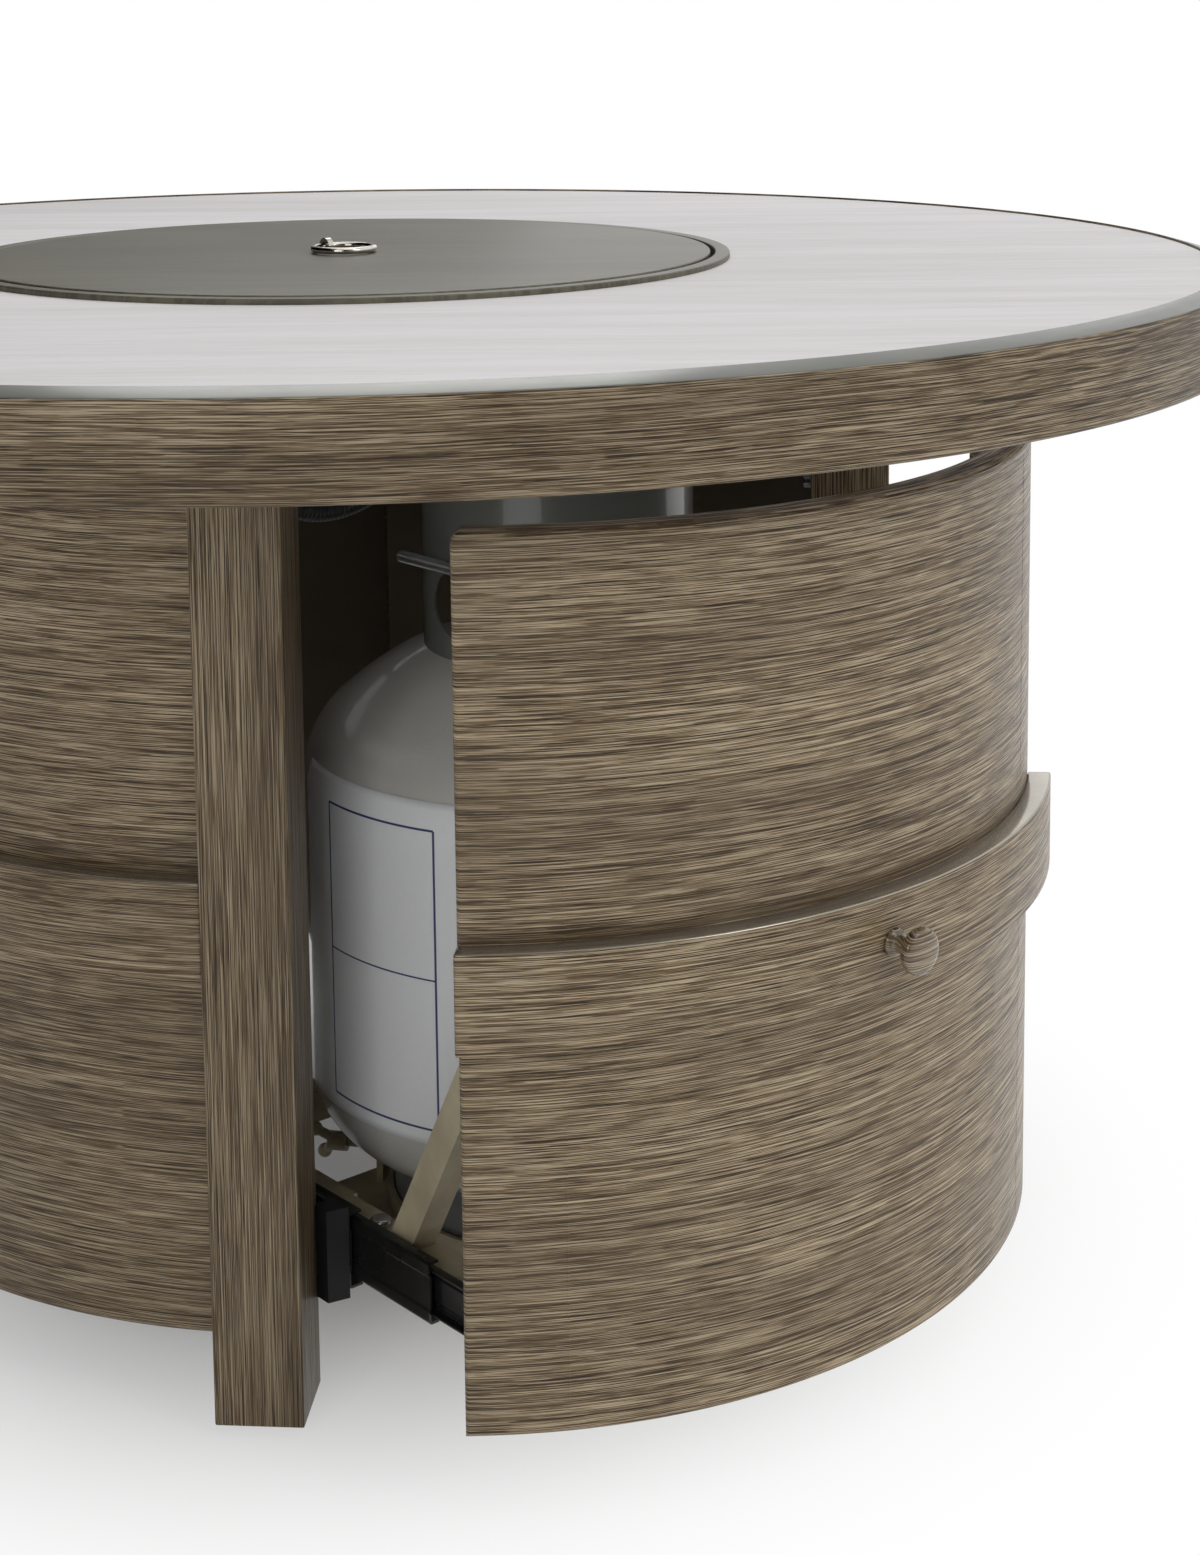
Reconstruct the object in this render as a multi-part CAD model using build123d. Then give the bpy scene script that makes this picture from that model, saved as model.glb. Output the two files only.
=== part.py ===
from build123d import *
import os
from math import asin, atan2, cos, degrees, hypot, pi, radians, sin, sqrt

# Round patio fire pit table with a pull-out gas cylinder drawer.
# Millimetres, +Z up, origin on the floor under the centre of the top.
# The drawer pulls out along -Y and is drawn as photographed, part open.

# Table top
TOP_DIAMETER = 1143.0
APRON_HEIGHT = 53.0
RIM_WIDTH = 14.5
RIM_DROP = 4.0
RIM_WALL = 3.0
RIM_SHELF = 12.0
RIM_LIP = 19.5
TILE_THICKNESS = 12.0
TILE_RECESS = 0.5
TILE_GAP = 0.7

# Frame under the top
ARM_WIDTH = 40.0
ARM_HEIGHT = 30.0
ARM_WALL = 2.5
HUB_RING_CLEARANCE = 11.5
HUB_RING_WALL = 6.0
ARM_END_GAP = 0.5

# Burner opening, bowl and lid
TRIM_INNER_RADIUS = 241.5
TRIM_FACE = 9.5
TRIM_PROUD = 2.5
TRIM_WALL = 3.0
TRIM_DEPTH = 22.0
LEDGE_WIDTH = 12.5
LEDGE_DEPTH = 10.0
LEDGE_THICKNESS = 2.0
SHEET = 1.5
BOWL_CLEARANCE = 3.0
BOWL_DEPTH = 62.0
BOWL_HOLE_RADIUS = 12.0
LID_GAP = 3.0
LID_SHEET = 2.0
LID_PROUD = 0.5
LID_EDGE = 2.5
PULL_WIRE_RADIUS = 2.2
PULL_RING_RADIUS = 19.5
PULL_LIFT = 0.5
STAPLE_WIDTH = 4.0
STAPLE_WALL = 2.6
STAPLE_CLEARANCE = 0.7

# Burner
BURNER_RING_RADIUS = 120.0
BURNER_TUBE_RADIUS = 10.0
BURNER_HEIGHT = 12.0
SPOKE_RADIUS = 6.0
HUB_PIPE_RADIUS = 10.0
HUB_FLANGE_RADIUS = 20.0
HUB_FLANGE_THICKNESS = 4.0
PORT_COUNT = 24
PORT_RADIUS = 1.6
LOCKNUT_HEIGHT = 6.0
LOCKNUT_RADIUS = 19.0
GLASS_DEPTH = 13.0
GLASS_GAP = 0.6
PILOT_RADIUS = 165.0
PILOT_HEIGHT = 42.0
PILOT_WIDTH = 30.0
ELECTRODE_RADIUS = 2.5
SHIELD_INSET = 21.0
SHIELD_HOLE_RADIUS = 80.0
SHIELD_DROP = 8.0
SPACER_RADIUS = 6.0
SPACER_CIRCLE = 150.0

# Legs and drum
LEG_WIDTH = 50.0
LEG_PROUD = 16.0
LEG_WALL = 3.0
GLIDE_HEIGHT = 8.0
GLIDE_RADIUS = 11.0
GLIDE_DOME = 3.0
DRUM_MARGIN = 182.0
PANEL_DEPTH = 18.0
PANEL_SKIN = 3.0
PANEL_BOTTOM = 53.0
PANEL_HEADROOM = 39.0
PANEL_CORNER = 8.0
BAND_HEIGHT = 54.0
BAND_PROUD = 14.0
BAND_ROUND = 2.5

# Drawer and slides
DRAWER_OPEN = 139.0
DRAWER_GAP = 2.0
STIFFENER_WIDTH = 24.0
SLIDE_INBOARD = 10.6
SLIDE_WIDTH = 12.7
SLIDE_HEIGHT = 45.0
SLIDE_MID_Z = 88.0
SLIDE_STEEL = 1.5
SLIDE_BALL_GAP = 3.0
SLIDE_LENGTH = 347.0
SLIDE_SETBACK = 72.0
BALL_RADIUS = 1.2
BALL_PITCH = 24.0
BALL_COUNT = 8
RETAINER_THICKNESS = 0.8
RETAINER_WIDTH = 2.0
BASE_RAIL_WIDTH = 15.0
BASE_RAIL_HEIGHT = 36.0
SLIDE_BLOCK_HEIGHT = 54.0
SLIDE_BLOCK_FRONT = 1.0
SLIDE_BLOCK_REACH = 13.0

# Tray
TRAY_RAIL = 20.0
TRAY_TUBE_WALL = 1.5
TRAY_RAIL_TOP = 97.0
TRAY_CROSS_SETBACK = 73.0
TRAY_CROSS_BEHIND = 153.0
TRAY_FLOOR = 55.0
TRAY_SHEET = 3.0
TRAY_DISC_RADIUS = 112.0
TRAY_STRIPS = ((-107.0, -73.0), (9.0, 103.0))
BRACE_WIDTH = 18.0
BRACE_FORWARD = 61.0
BRACE_HEIGHT = 248.0
GUARD_ROD_RADIUS = 3.6
GUARD_ROD_X = 96.0
GUARD_DROP = 63.0
GUARD_BEHIND = 26.0
GUARD_STRAP_HEIGHT = 20.0
GUARD_STRAP = 3.0

# Gas cylinder
TANK_FRONT_GAP = 88.0
TANK_HEADROOM = 41.5
TANK_RADIUS = 155.0
TANK_WALL = 2.6
TANK_HEIGHT = 455.0
TANK_HEAD_HEIGHT = 96.0
TANK_HEAD_KNUCKLE = 60.0
TANK_BASE_HEIGHT = 80.0
TANK_BASE_KNUCKLE = 50.0
COLLAR_RISE = 88.0
TANK_BELLY = 97.0
FOOT_RADIUS = 105.0
FOOT_WALL = 3.0
COLLAR_RADIUS = 81.0
COLLAR_WALL = 2.5
COLLAR_LIP = 2.0
COLLAR_LIP_HEIGHT = 5.0
COLLAR_MOUTH = 80.0
HANDHOLE_ANGLES = (212.0, 328.0)
HANDHOLE_WIDTH = 82.0
HANDHOLE_TOP = 52.0
HANDHOLE_BOTTOM = 92.0
LABEL_THICKNESS = 0.3
LABEL_GAP = 0.05
LABEL_ANGLES = (157.0, 300.0)
LABEL_MARGIN_TOP = 4.0
LABEL_MARGIN_BOTTOM = 8.0
SEAT_RING_HEIGHT = 12.0
SEAT_RING_WALL = 3.0
SEAT_CLEARANCE = 1.0
VALVE_RADIUS = 11.0
VALVE_HEIGHT = 40.0
OUTLET_RADIUS = 10.0
OUTLET_LENGTH = 46.0
STEM_RADIUS = 4.0
STEM_HEIGHT = 22.0
HANDWHEEL_RADIUS = 24.0
HANDWHEEL_HEIGHT = 14.0
HANDWHEEL_LOBES = 6
WING_ANGLE = 128.0
WING_Z = 75.0
WING_SCREW_RADIUS = 3.0
WING_HUB = 152.0
CLAMP_TAB = 4.0
CLAMP_TAB_WIDTH = 24.0
CLAMP_TAB_RADIUS = 116.0

# Knob on the drawer
KNOB_PROUD = 25.0
KNOB_HEAD_RADIUS = 13.0
KNOB_HEAD_THICKNESS = 10.0
KNOB_NECK_RADIUS = 4.0
KNOB_FOOT_RADIUS = 7.0
KNOB_FOOT_THICKNESS = 3.0

# Gas controls on the right side of the drum
CONTROL_DROP = 48.0
CONTROL_SPREAD = 30.0
CONTROL_PLATE = 2.5
CONTROL_HEIGHT = 66.0
CONTROL_HALF_ANGLE = 11.0
CONTROL_KNOB_RADIUS = 19.0
CONTROL_KNOB_DEPTH = 22.0
CONTROL_FINGER = 9.0
GAS_BODY = 34.0
GAS_NECK_RADIUS = 7.0
GAS_NECK_PROUD = 3.5
GAS_BODY_SETBACK = 11.0
GAS_STEM_LENGTH = 13.0
IGNITER_RADIUS = 10.0
IGNITER_LENGTH = 60.0
BEZEL_RADIUS = 13.0
BUTTON_RADIUS = 6.7
BUTTON_PROUD = 5.0
BUTTON_LENGTH = 20.0
BUTTON_TRAVEL = 4.0
FIT = 0.3

# Corrugated gas line from the valve to the burner
HOSE_RADIUS = 6.25
HOSE_ROOT_RADIUS = 5.2
HOSE_BORE_RADIUS = 4.0
HOSE_RIBS = 104
HOSE_Y = 30.0
HOSE_DROPS = [
    (-61.0, 0.0),
    (-61.0, 46.0),
    (-24.2, 82.8),
    (31.8, 82.8),
    (80.4, 51.2),
    (150.0, 48.0),
    (215.0, 48.0),
]
FEED_PIPE_RADIUS = 6.0
FITTING_RADIUS = 8.5

# Fasteners
SCREW_RADIUS = 4.0
SCREW_HEAD = 2.4
BOLT_HEAD_RADIUS = 6.5
BOLT_HEAD = 4.5

# Derived places, from the floor up and from the gas cylinder outwards
TOP_RADIUS = TOP_DIAMETER / 2
TANK_TOP = TRAY_FLOOR + TANK_HEIGHT
TANK_APEX_Z = TANK_TOP - COLLAR_RISE
TANK_SHOULDER_Z = TANK_APEX_Z - TANK_HEAD_HEIGHT
TANK_BELLY_Z = TRAY_FLOOR + TANK_BELLY
BOWL_BOTTOM = TANK_TOP + TANK_HEADROOM
BOWL_FLOOR = BOWL_BOTTOM + SHEET
BOWL_FLANGE_TOP = BOWL_BOTTOM + BOWL_DEPTH
LEDGE_TOP = BOWL_FLANGE_TOP - SHEET
TRIM_TOP = LEDGE_TOP + LEDGE_DEPTH
TILE_TOP = TRIM_TOP - TRIM_PROUD
TILE_BOTTOM = TILE_TOP - TILE_THICKNESS
TABLE_HEIGHT = TILE_TOP + TILE_RECESS
APRON_BOTTOM = TABLE_HEIGHT - APRON_HEIGHT
ARM_BOTTOM = TILE_BOTTOM - ARM_HEIGHT
PANEL_TOP = APRON_BOTTOM - PANEL_HEADROOM
BAND_MID = (PANEL_BOTTOM + PANEL_TOP) / 2
CONTROL_Z = PANEL_TOP - CONTROL_DROP
GUARD_Z = PANEL_TOP - GUARD_DROP
BRACE_HEAD_Z = TRAY_RAIL_TOP + BRACE_HEIGHT
LID_TOP = TRIM_TOP + LID_PROUD
PULL_Z = LID_TOP + PULL_LIFT + PULL_WIRE_RADIUS
BURNER_Z = BOWL_FLOOR + BURNER_HEIGHT
GLASS_TOP = BOWL_FLOOR + GLASS_DEPTH
PIPE_Z = BOWL_BOTTOM - LOCKNUT_HEIGHT - FITTING_RADIUS
RIM_INNER_RADIUS = TOP_RADIUS - RIM_WIDTH
TRIM_OUTER_RADIUS = TRIM_INNER_RADIUS + TRIM_FACE
HUB_RING_RADIUS = TRIM_INNER_RADIUS + TRIM_WALL + HUB_RING_CLEARANCE
BOWL_RADIUS = TRIM_INNER_RADIUS - LEDGE_WIDTH - BOWL_CLEARANCE
LID_RADIUS = TRIM_INNER_RADIUS - LID_GAP
SHIELD_RADIUS = BOWL_RADIUS - SHIELD_INSET
DRUM_RADIUS = TANK_RADIUS + DRUM_MARGIN
PANEL_INNER_RADIUS = DRUM_RADIUS - PANEL_DEPTH
BAND_RADIUS = DRUM_RADIUS + BAND_PROUD
LEG_FACE_RADIUS = DRUM_RADIUS + LEG_PROUD
LEG_RADIUS = LEG_FACE_RADIUS - LEG_WIDTH / 2
LEG_X = LEG_RADIUS / sqrt(2)
LEG_TIP_X = LEG_X - LEG_WIDTH / sqrt(2)
SLIDE_X = LEG_TIP_X - SLIDE_INBOARD
SLIDE_FRONT_Y = SLIDE_SETBACK - PANEL_INNER_RADIUS
TRAY_HALF_WIDTH = SLIDE_X - SLIDE_WIDTH
STIFFENER_X = TRAY_HALF_WIDTH - TRAY_RAIL / 2
TANK_Y = TANK_RADIUS + TANK_FRONT_GAP - PANEL_INNER_RADIUS - DRAWER_OPEN
TRAY_CROSS_FRONT_Y = TRAY_CROSS_SETBACK - PANEL_INNER_RADIUS - DRAWER_OPEN
TRAY_CROSS_REAR_Y = TANK_Y + TRAY_CROSS_BEHIND
BRACE_FOOT_Y = TANK_Y - BRACE_FORWARD
GUARD_END_Y = TANK_Y + GUARD_BEHIND
GAS_NECK_FRONT = DRUM_RADIUS + CONTROL_PLATE + GAS_NECK_PROUD
GAS_BODY_FRONT = DRUM_RADIUS - GAS_BODY_SETBACK
GAS_STEM_FRONT = GAS_NECK_FRONT + GAS_STEM_LENGTH
HOSE_ROUTE = [(x, PANEL_TOP - drop) for x, drop in HOSE_DROPS]

LEG_ANGLES = {
    "leg_front_left": 225.0,
    "leg_front_right": 315.0,
    "leg_rear_right": 45.0,
    "leg_rear_left": 135.0,
}
PANEL_ANGLES = {"right": 0.0, "rear": 90.0, "left": 180.0}
DRAWER_ANGLE = 270.0
BASE = (Align.CENTER, Align.CENTER, Align.MIN)
PARTS = {}


def turned(points):
    """Solid of revolution about Z from a closed outline of (radius, height) points."""
    outline = Plane.XZ * make_face(Polyline(*points, close=True))
    return revolve(outline, Axis.Z)


def tube(r_in, r_out, z0, z1):
    """Upright round tube between two heights."""
    outer = Cylinder(r_out, z1 - z0, align=BASE)
    inner = Cylinder(r_in, z1 - z0, align=BASE)
    return Pos(0, 0, z0) * (outer - inner)


def block(x0, x1, y0, y1, z0, z1):
    """Box between two corners."""
    return Pos((x0 + x1) / 2, (y0 + y1) / 2, (z0 + z1) / 2) * Box(abs(x1 - x0), abs(y1 - y0), abs(z1 - z0))


def post(radius, x, y, z0, z1):
    """Upright round bar at a place in plan."""
    return Pos(x, y, z0) * Cylinder(radius, z1 - z0, align=BASE)


def rod(start, end, radius):
    """Round bar between two points."""
    axis = Vector(*end) - Vector(*start)
    return Plane(origin=start, z_dir=axis) * Cylinder(radius, axis.length, align=BASE)


def prism(points, z0, z1):
    """Upright prism on a plan outline."""
    return Pos(0, 0, z0) * extrude(make_face(Polyline(*points, close=True)), z1 - z0)


def facing(heading, shape):
    """Turn a shape drawn towards +X to face a heading in degrees."""
    return Rot(0, 0, heading) * shape


def bay(gap, z0, z1):
    """Wedge towards +X between two legs, kept a gap away from the legs' sides."""
    apex = (LEG_WIDTH / 2 + gap) * sqrt(2)
    far = TOP_RADIUS
    return prism([(apex, 0), (far, far - apex), (far, apex - far)], z0, z1)


def curved_wall(r_in, r_out, z0, z1, gap):
    """Arc of wall towards +X, its ends cut parallel to the legs beside it."""
    return tube(r_in, r_out, z0, z1) & bay(gap, z0, z1)


def folded_panel(gap, stiffeners=()):
    """Curved drum panel of sheet with its four edges folded in, and upright stiffeners inside."""
    body = curved_wall(PANEL_INNER_RADIUS, DRUM_RADIUS, PANEL_BOTTOM, PANEL_TOP, gap)
    corners = body.edges().filter_by(GeomType.LINE).group_by(Axis.Z)[-1]
    body = fillet(corners, PANEL_CORNER)
    pocket = curved_wall(
        PANEL_INNER_RADIUS - PANEL_SKIN,
        DRUM_RADIUS - PANEL_SKIN,
        PANEL_BOTTOM + PANEL_SKIN,
        PANEL_TOP - PANEL_SKIN,
        gap + PANEL_SKIN,
    )
    for y in stiffeners:
        half = STIFFENER_WIDTH / 2
        pocket -= block(0, DRUM_RADIUS, y - half, y + half, PANEL_BOTTOM, PANEL_TOP)
    return body - pocket


def belt_band(gap):
    """Raised band round the middle of a drum panel."""
    low = BAND_MID - BAND_HEIGHT / 2
    body = curved_wall(DRUM_RADIUS, BAND_RADIUS, low, low + BAND_HEIGHT, gap)
    face = body.faces().filter_by(GeomType.CYLINDER).sort_by(SortBy.AREA)[-1]
    return fillet(face.edges().filter_by(GeomType.CIRCLE), BAND_ROUND)


def mirrored(shape):
    """The same piece on the other side of the drawer's centre plane."""
    return mirror(shape, Plane.YZ)


def table_top():
    """Rim, tile, frame of arms and ring, all under one round top."""
    outer = TOP_RADIUS
    wall = outer - RIM_WALL
    shelf = RIM_INNER_RADIUS - RIM_SHELF
    PARTS["top_rim"] = turned([
        (outer, APRON_BOTTOM),
        (outer, TABLE_HEIGHT - RIM_DROP),
        (RIM_INNER_RADIUS, TABLE_HEIGHT),
        (RIM_INNER_RADIUS, TILE_BOTTOM),
        (shelf, TILE_BOTTOM),
        (shelf, TILE_BOTTOM - RIM_WALL),
        (wall, TILE_BOTTOM - RIM_WALL),
        (wall, APRON_BOTTOM + RIM_WALL),
        (outer - RIM_LIP, APRON_BOTTOM + RIM_WALL),
        (outer - RIM_LIP, APRON_BOTTOM),
    ])
    tile_hole = TRIM_INNER_RADIUS + TRIM_WALL + TILE_GAP
    PARTS["tile_top"] = tube(tile_hole, RIM_INNER_RADIUS - TILE_GAP, TILE_BOTTOM, TILE_TOP)
    ring_outer = HUB_RING_RADIUS + HUB_RING_WALL
    arm_end = wall - ARM_END_GAP
    frame = tube(HUB_RING_RADIUS, ring_outer, ARM_BOTTOM, TILE_BOTTOM)
    for heading in LEG_ANGLES.values():
        half = ARM_WIDTH / 2
        bore = half - ARM_WALL
        bore_top = TILE_BOTTOM - RIM_WALL - ARM_WALL
        arm = block(ring_outer - HUB_RING_WALL / 2, arm_end, -half, half, ARM_BOTTOM, TILE_BOTTOM)
        arm -= block(ring_outer + ARM_WALL, arm_end, -bore, bore, ARM_BOTTOM + ARM_WALL, bore_top)
        arm -= block(shelf - ARM_END_GAP, arm_end, -half, half, TILE_BOTTOM - RIM_WALL, TILE_BOTTOM)
        frame += facing(heading, arm)
    PARTS["top_frame"] = frame - Pos(0, 0, ARM_BOTTOM) * Cylinder(HUB_RING_RADIUS, ARM_HEIGHT, align=BASE)


def burner_opening():
    """Trim ring, bowl, lid and ring pull."""
    wall = TRIM_INNER_RADIUS + TRIM_WALL
    ledge = TRIM_INNER_RADIUS - LEDGE_WIDTH
    PARTS["burner_trim_ring"] = turned([
        (TRIM_OUTER_RADIUS, TILE_TOP),
        (TRIM_OUTER_RADIUS, TRIM_TOP),
        (TRIM_INNER_RADIUS, TRIM_TOP),
        (TRIM_INNER_RADIUS, LEDGE_TOP),
        (ledge, LEDGE_TOP),
        (ledge, LEDGE_TOP - LEDGE_THICKNESS),
        (TRIM_INNER_RADIUS, LEDGE_TOP - LEDGE_THICKNESS),
        (TRIM_INNER_RADIUS, TRIM_TOP - TRIM_DEPTH),
        (wall, TRIM_TOP - TRIM_DEPTH),
        (wall, TILE_TOP),
    ])
    flange = TRIM_INNER_RADIUS - FIT * 2
    PARTS["burner_bowl"] = turned([
        (BOWL_HOLE_RADIUS, BOWL_BOTTOM),
        (BOWL_RADIUS, BOWL_BOTTOM),
        (BOWL_RADIUS, LEDGE_TOP),
        (flange, LEDGE_TOP),
        (flange, BOWL_FLANGE_TOP),
        (BOWL_RADIUS - SHEET, BOWL_FLANGE_TOP),
        (BOWL_RADIUS - SHEET, BOWL_FLOOR),
        (BOWL_HOLE_RADIUS, BOWL_FLOOR),
    ])
    under = LID_TOP - LID_SHEET
    PARTS["lid"] = turned([
        (0, under),
        (LID_RADIUS - LID_EDGE, under),
        (LID_RADIUS - LID_EDGE, BOWL_FLANGE_TOP),
        (LID_RADIUS, BOWL_FLANGE_TOP),
        (LID_RADIUS, LID_TOP - LID_SHEET / 2),
        (LID_RADIUS - LID_SHEET / 2, LID_TOP),
        (0, LID_TOP),
    ])
    hole = PULL_WIRE_RADIUS + STAPLE_CLEARANCE
    arch = hole + STAPLE_WALL
    staple = Rot(0, 90, 0) * Cylinder(arch, STAPLE_WIDTH)
    staple += block(-STAPLE_WIDTH / 2, STAPLE_WIDTH / 2, -arch, arch, LID_TOP - PULL_Z, 0)
    staple &= block(-STAPLE_WIDTH, STAPLE_WIDTH, -arch, arch, LID_TOP - PULL_Z, arch)
    staple -= Rot(0, 90, 0) * Cylinder(hole, STAPLE_WIDTH * 2)
    PARTS["pull_staple"] = Pos(0, PULL_RING_RADIUS, PULL_Z) * staple
    PARTS["pull_ring"] = Pos(0, 0, PULL_Z) * Torus(PULL_RING_RADIUS, PULL_WIRE_RADIUS)


def burner():
    """Ring burner on its hub pipe, glass bed, pilot and heat shield."""
    ring = Pos(0, 0, BURNER_Z) * Rot(0, 0, 45) * Torus(BURNER_RING_RADIUS, BURNER_TUBE_RADIUS)
    hub_bottom = BOWL_BOTTOM - LOCKNUT_HEIGHT
    hub_top = BURNER_Z + BURNER_TUBE_RADIUS
    hub = Pos(0, 0, hub_bottom) * Cylinder(HUB_PIPE_RADIUS, hub_top - hub_bottom, align=BASE)
    hub += Pos(0, 0, BOWL_FLOOR) * Cylinder(HUB_FLANGE_RADIUS, HUB_FLANGE_THICKNESS, align=BASE)
    tree = hub
    for i in range(4):
        spoke = rod((HUB_PIPE_RADIUS * 0.8, 0, BURNER_Z), (BURNER_RING_RADIUS, 0, BURNER_Z), SPOKE_RADIUS)
        tree += facing(i * 90, spoke)
    tree += ring
    port_depth = BURNER_TUBE_RADIUS * 2
    for i in range(PORT_COUNT):
        port = Pos(BURNER_RING_RADIUS, 0, BURNER_Z) * Cylinder(PORT_RADIUS, port_depth, align=BASE)
        tree -= facing((i + 0.5) * 360 / PORT_COUNT, port)
    PARTS["burner_ring"] = tree
    nut = RegularPolygon(LOCKNUT_RADIUS, 6) - Circle(HUB_PIPE_RADIUS + FIT)
    PARTS["burner_locknut"] = Pos(0, 0, hub_bottom) * extrude(nut, LOCKNUT_HEIGHT)

    pilot = block(-SHEET / 2, SHEET / 2, -PILOT_WIDTH / 2, PILOT_WIDTH / 2, 0, PILOT_HEIGHT * 0.6)
    pilot += block(-PILOT_WIDTH / 2, SHEET / 2, -PILOT_WIDTH / 2, PILOT_WIDTH / 2, 0, SHEET)
    for side in (-1, 1):
        pilot += post(ELECTRODE_RADIUS, 0, side * PILOT_WIDTH / 4, SHEET, PILOT_HEIGHT)
    PARTS["pilot_igniter"] = Pos(0, PILOT_RADIUS, BOWL_FLOOR) * facing(90, pilot)

    glass = Pos(0, 0, BOWL_FLOOR) * Cylinder(BOWL_RADIUS - SHEET - GLASS_GAP, GLASS_DEPTH, align=BASE)
    glass -= Pos(0, 0, BURNER_Z) * Torus(BURNER_RING_RADIUS, BURNER_TUBE_RADIUS + GLASS_GAP)
    spoke_slot = SPOKE_RADIUS + GLASS_GAP
    for long_x, long_y in ((BURNER_RING_RADIUS, spoke_slot), (spoke_slot, BURNER_RING_RADIUS)):
        slot_floor = BURNER_Z - spoke_slot
        glass -= block(-long_x, long_x, -long_y, long_y, slot_floor, GLASS_TOP)
    glass -= tube(0.01, HUB_FLANGE_RADIUS + GLASS_GAP, BOWL_FLOOR, GLASS_TOP)
    glass -= Pos(0, 0, BOWL_FLOOR) * Cylinder(HUB_FLANGE_RADIUS, GLASS_DEPTH, align=BASE)
    groove = BURNER_TUBE_RADIUS + GLASS_GAP
    glass -= tube(BURNER_RING_RADIUS - groove, BURNER_RING_RADIUS + groove, BURNER_Z, GLASS_TOP)
    pilot_half = PILOT_WIDTH / 2 + GLASS_GAP
    pilot_front = PILOT_RADIUS - PILOT_WIDTH / 2 - GLASS_GAP
    pilot_back = PILOT_RADIUS + ELECTRODE_RADIUS + GLASS_GAP
    glass -= block(-pilot_half, pilot_half, pilot_front, pilot_back, BOWL_FLOOR, GLASS_TOP)
    PARTS["fire_glass"] = glass

    shield_top = BOWL_BOTTOM - SHIELD_DROP
    shield = tube(SHIELD_HOLE_RADIUS, SHIELD_RADIUS, shield_top - SHEET, shield_top)
    for i in range(4):
        shield += facing(i * 90, post(SPACER_RADIUS, SPACER_CIRCLE, 0, shield_top, BOWL_BOTTOM))
    PARTS["heat_shield"] = shield


def legs_and_drum():
    """Four tube legs on glides, three fixed panels and their bands."""
    glides = []
    half = LEG_WIDTH / 2
    bore = half - LEG_WALL
    for name, heading in LEG_ANGLES.items():
        leg = block(LEG_RADIUS - half, LEG_RADIUS + half, -half, half, GLIDE_HEIGHT, ARM_BOTTOM)
        leg -= block(LEG_RADIUS - bore, LEG_RADIUS + bore, -bore, bore, GLIDE_HEIGHT + LEG_WALL, ARM_BOTTOM)
        PARTS[name] = facing(heading, leg)
        glide = Cylinder(GLIDE_RADIUS, GLIDE_HEIGHT, align=BASE)
        glide = fillet(glide.edges().group_by(Axis.Z)[0], GLIDE_DOME)
        glides.append(facing(heading, Pos(LEG_RADIUS, 0, 0) * glide))
    PARTS["leg_glides"] = Compound(glides)
    for side, heading in PANEL_ANGLES.items():
        panel = folded_panel(0)
        if side == "right":
            for y, radius in ((CONTROL_SPREAD, GAS_NECK_RADIUS), (-CONTROL_SPREAD, IGNITER_RADIUS)):
                start = (DRUM_RADIUS - PANEL_DEPTH, y, CONTROL_Z)
                panel -= rod(start, (BAND_RADIUS, y, CONTROL_Z), radius + FIT)
        PARTS["panel_" + side] = facing(heading, panel)
        PARTS["band_" + side] = facing(heading, belt_band(0))


def slide_profile(inset, x0, x1, web_x, web_side):
    """Channel section of one slide member: a web and two flanges, on the left side."""
    height = SLIDE_HEIGHT / 2 - inset
    low = SLIDE_MID_Z - height
    high = SLIDE_MID_Z + height
    web = ((web_x, web_x + web_side * SLIDE_STEEL), (low, high))
    flanges = [((x0, x1), (low, low + SLIDE_STEEL)), ((x0, x1), (high - SLIDE_STEEL, high))]
    return [web] + flanges


def slide_member(sections, y0, y1):
    """Channel extruded along Y from a list of x and z spans."""
    member = None
    for (x0, x1), (z0, z1) in sections:
        bar = block(x0, x1, y0, y1, z0, z1)
        member = bar if member is None else member + bar
    return member


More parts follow.
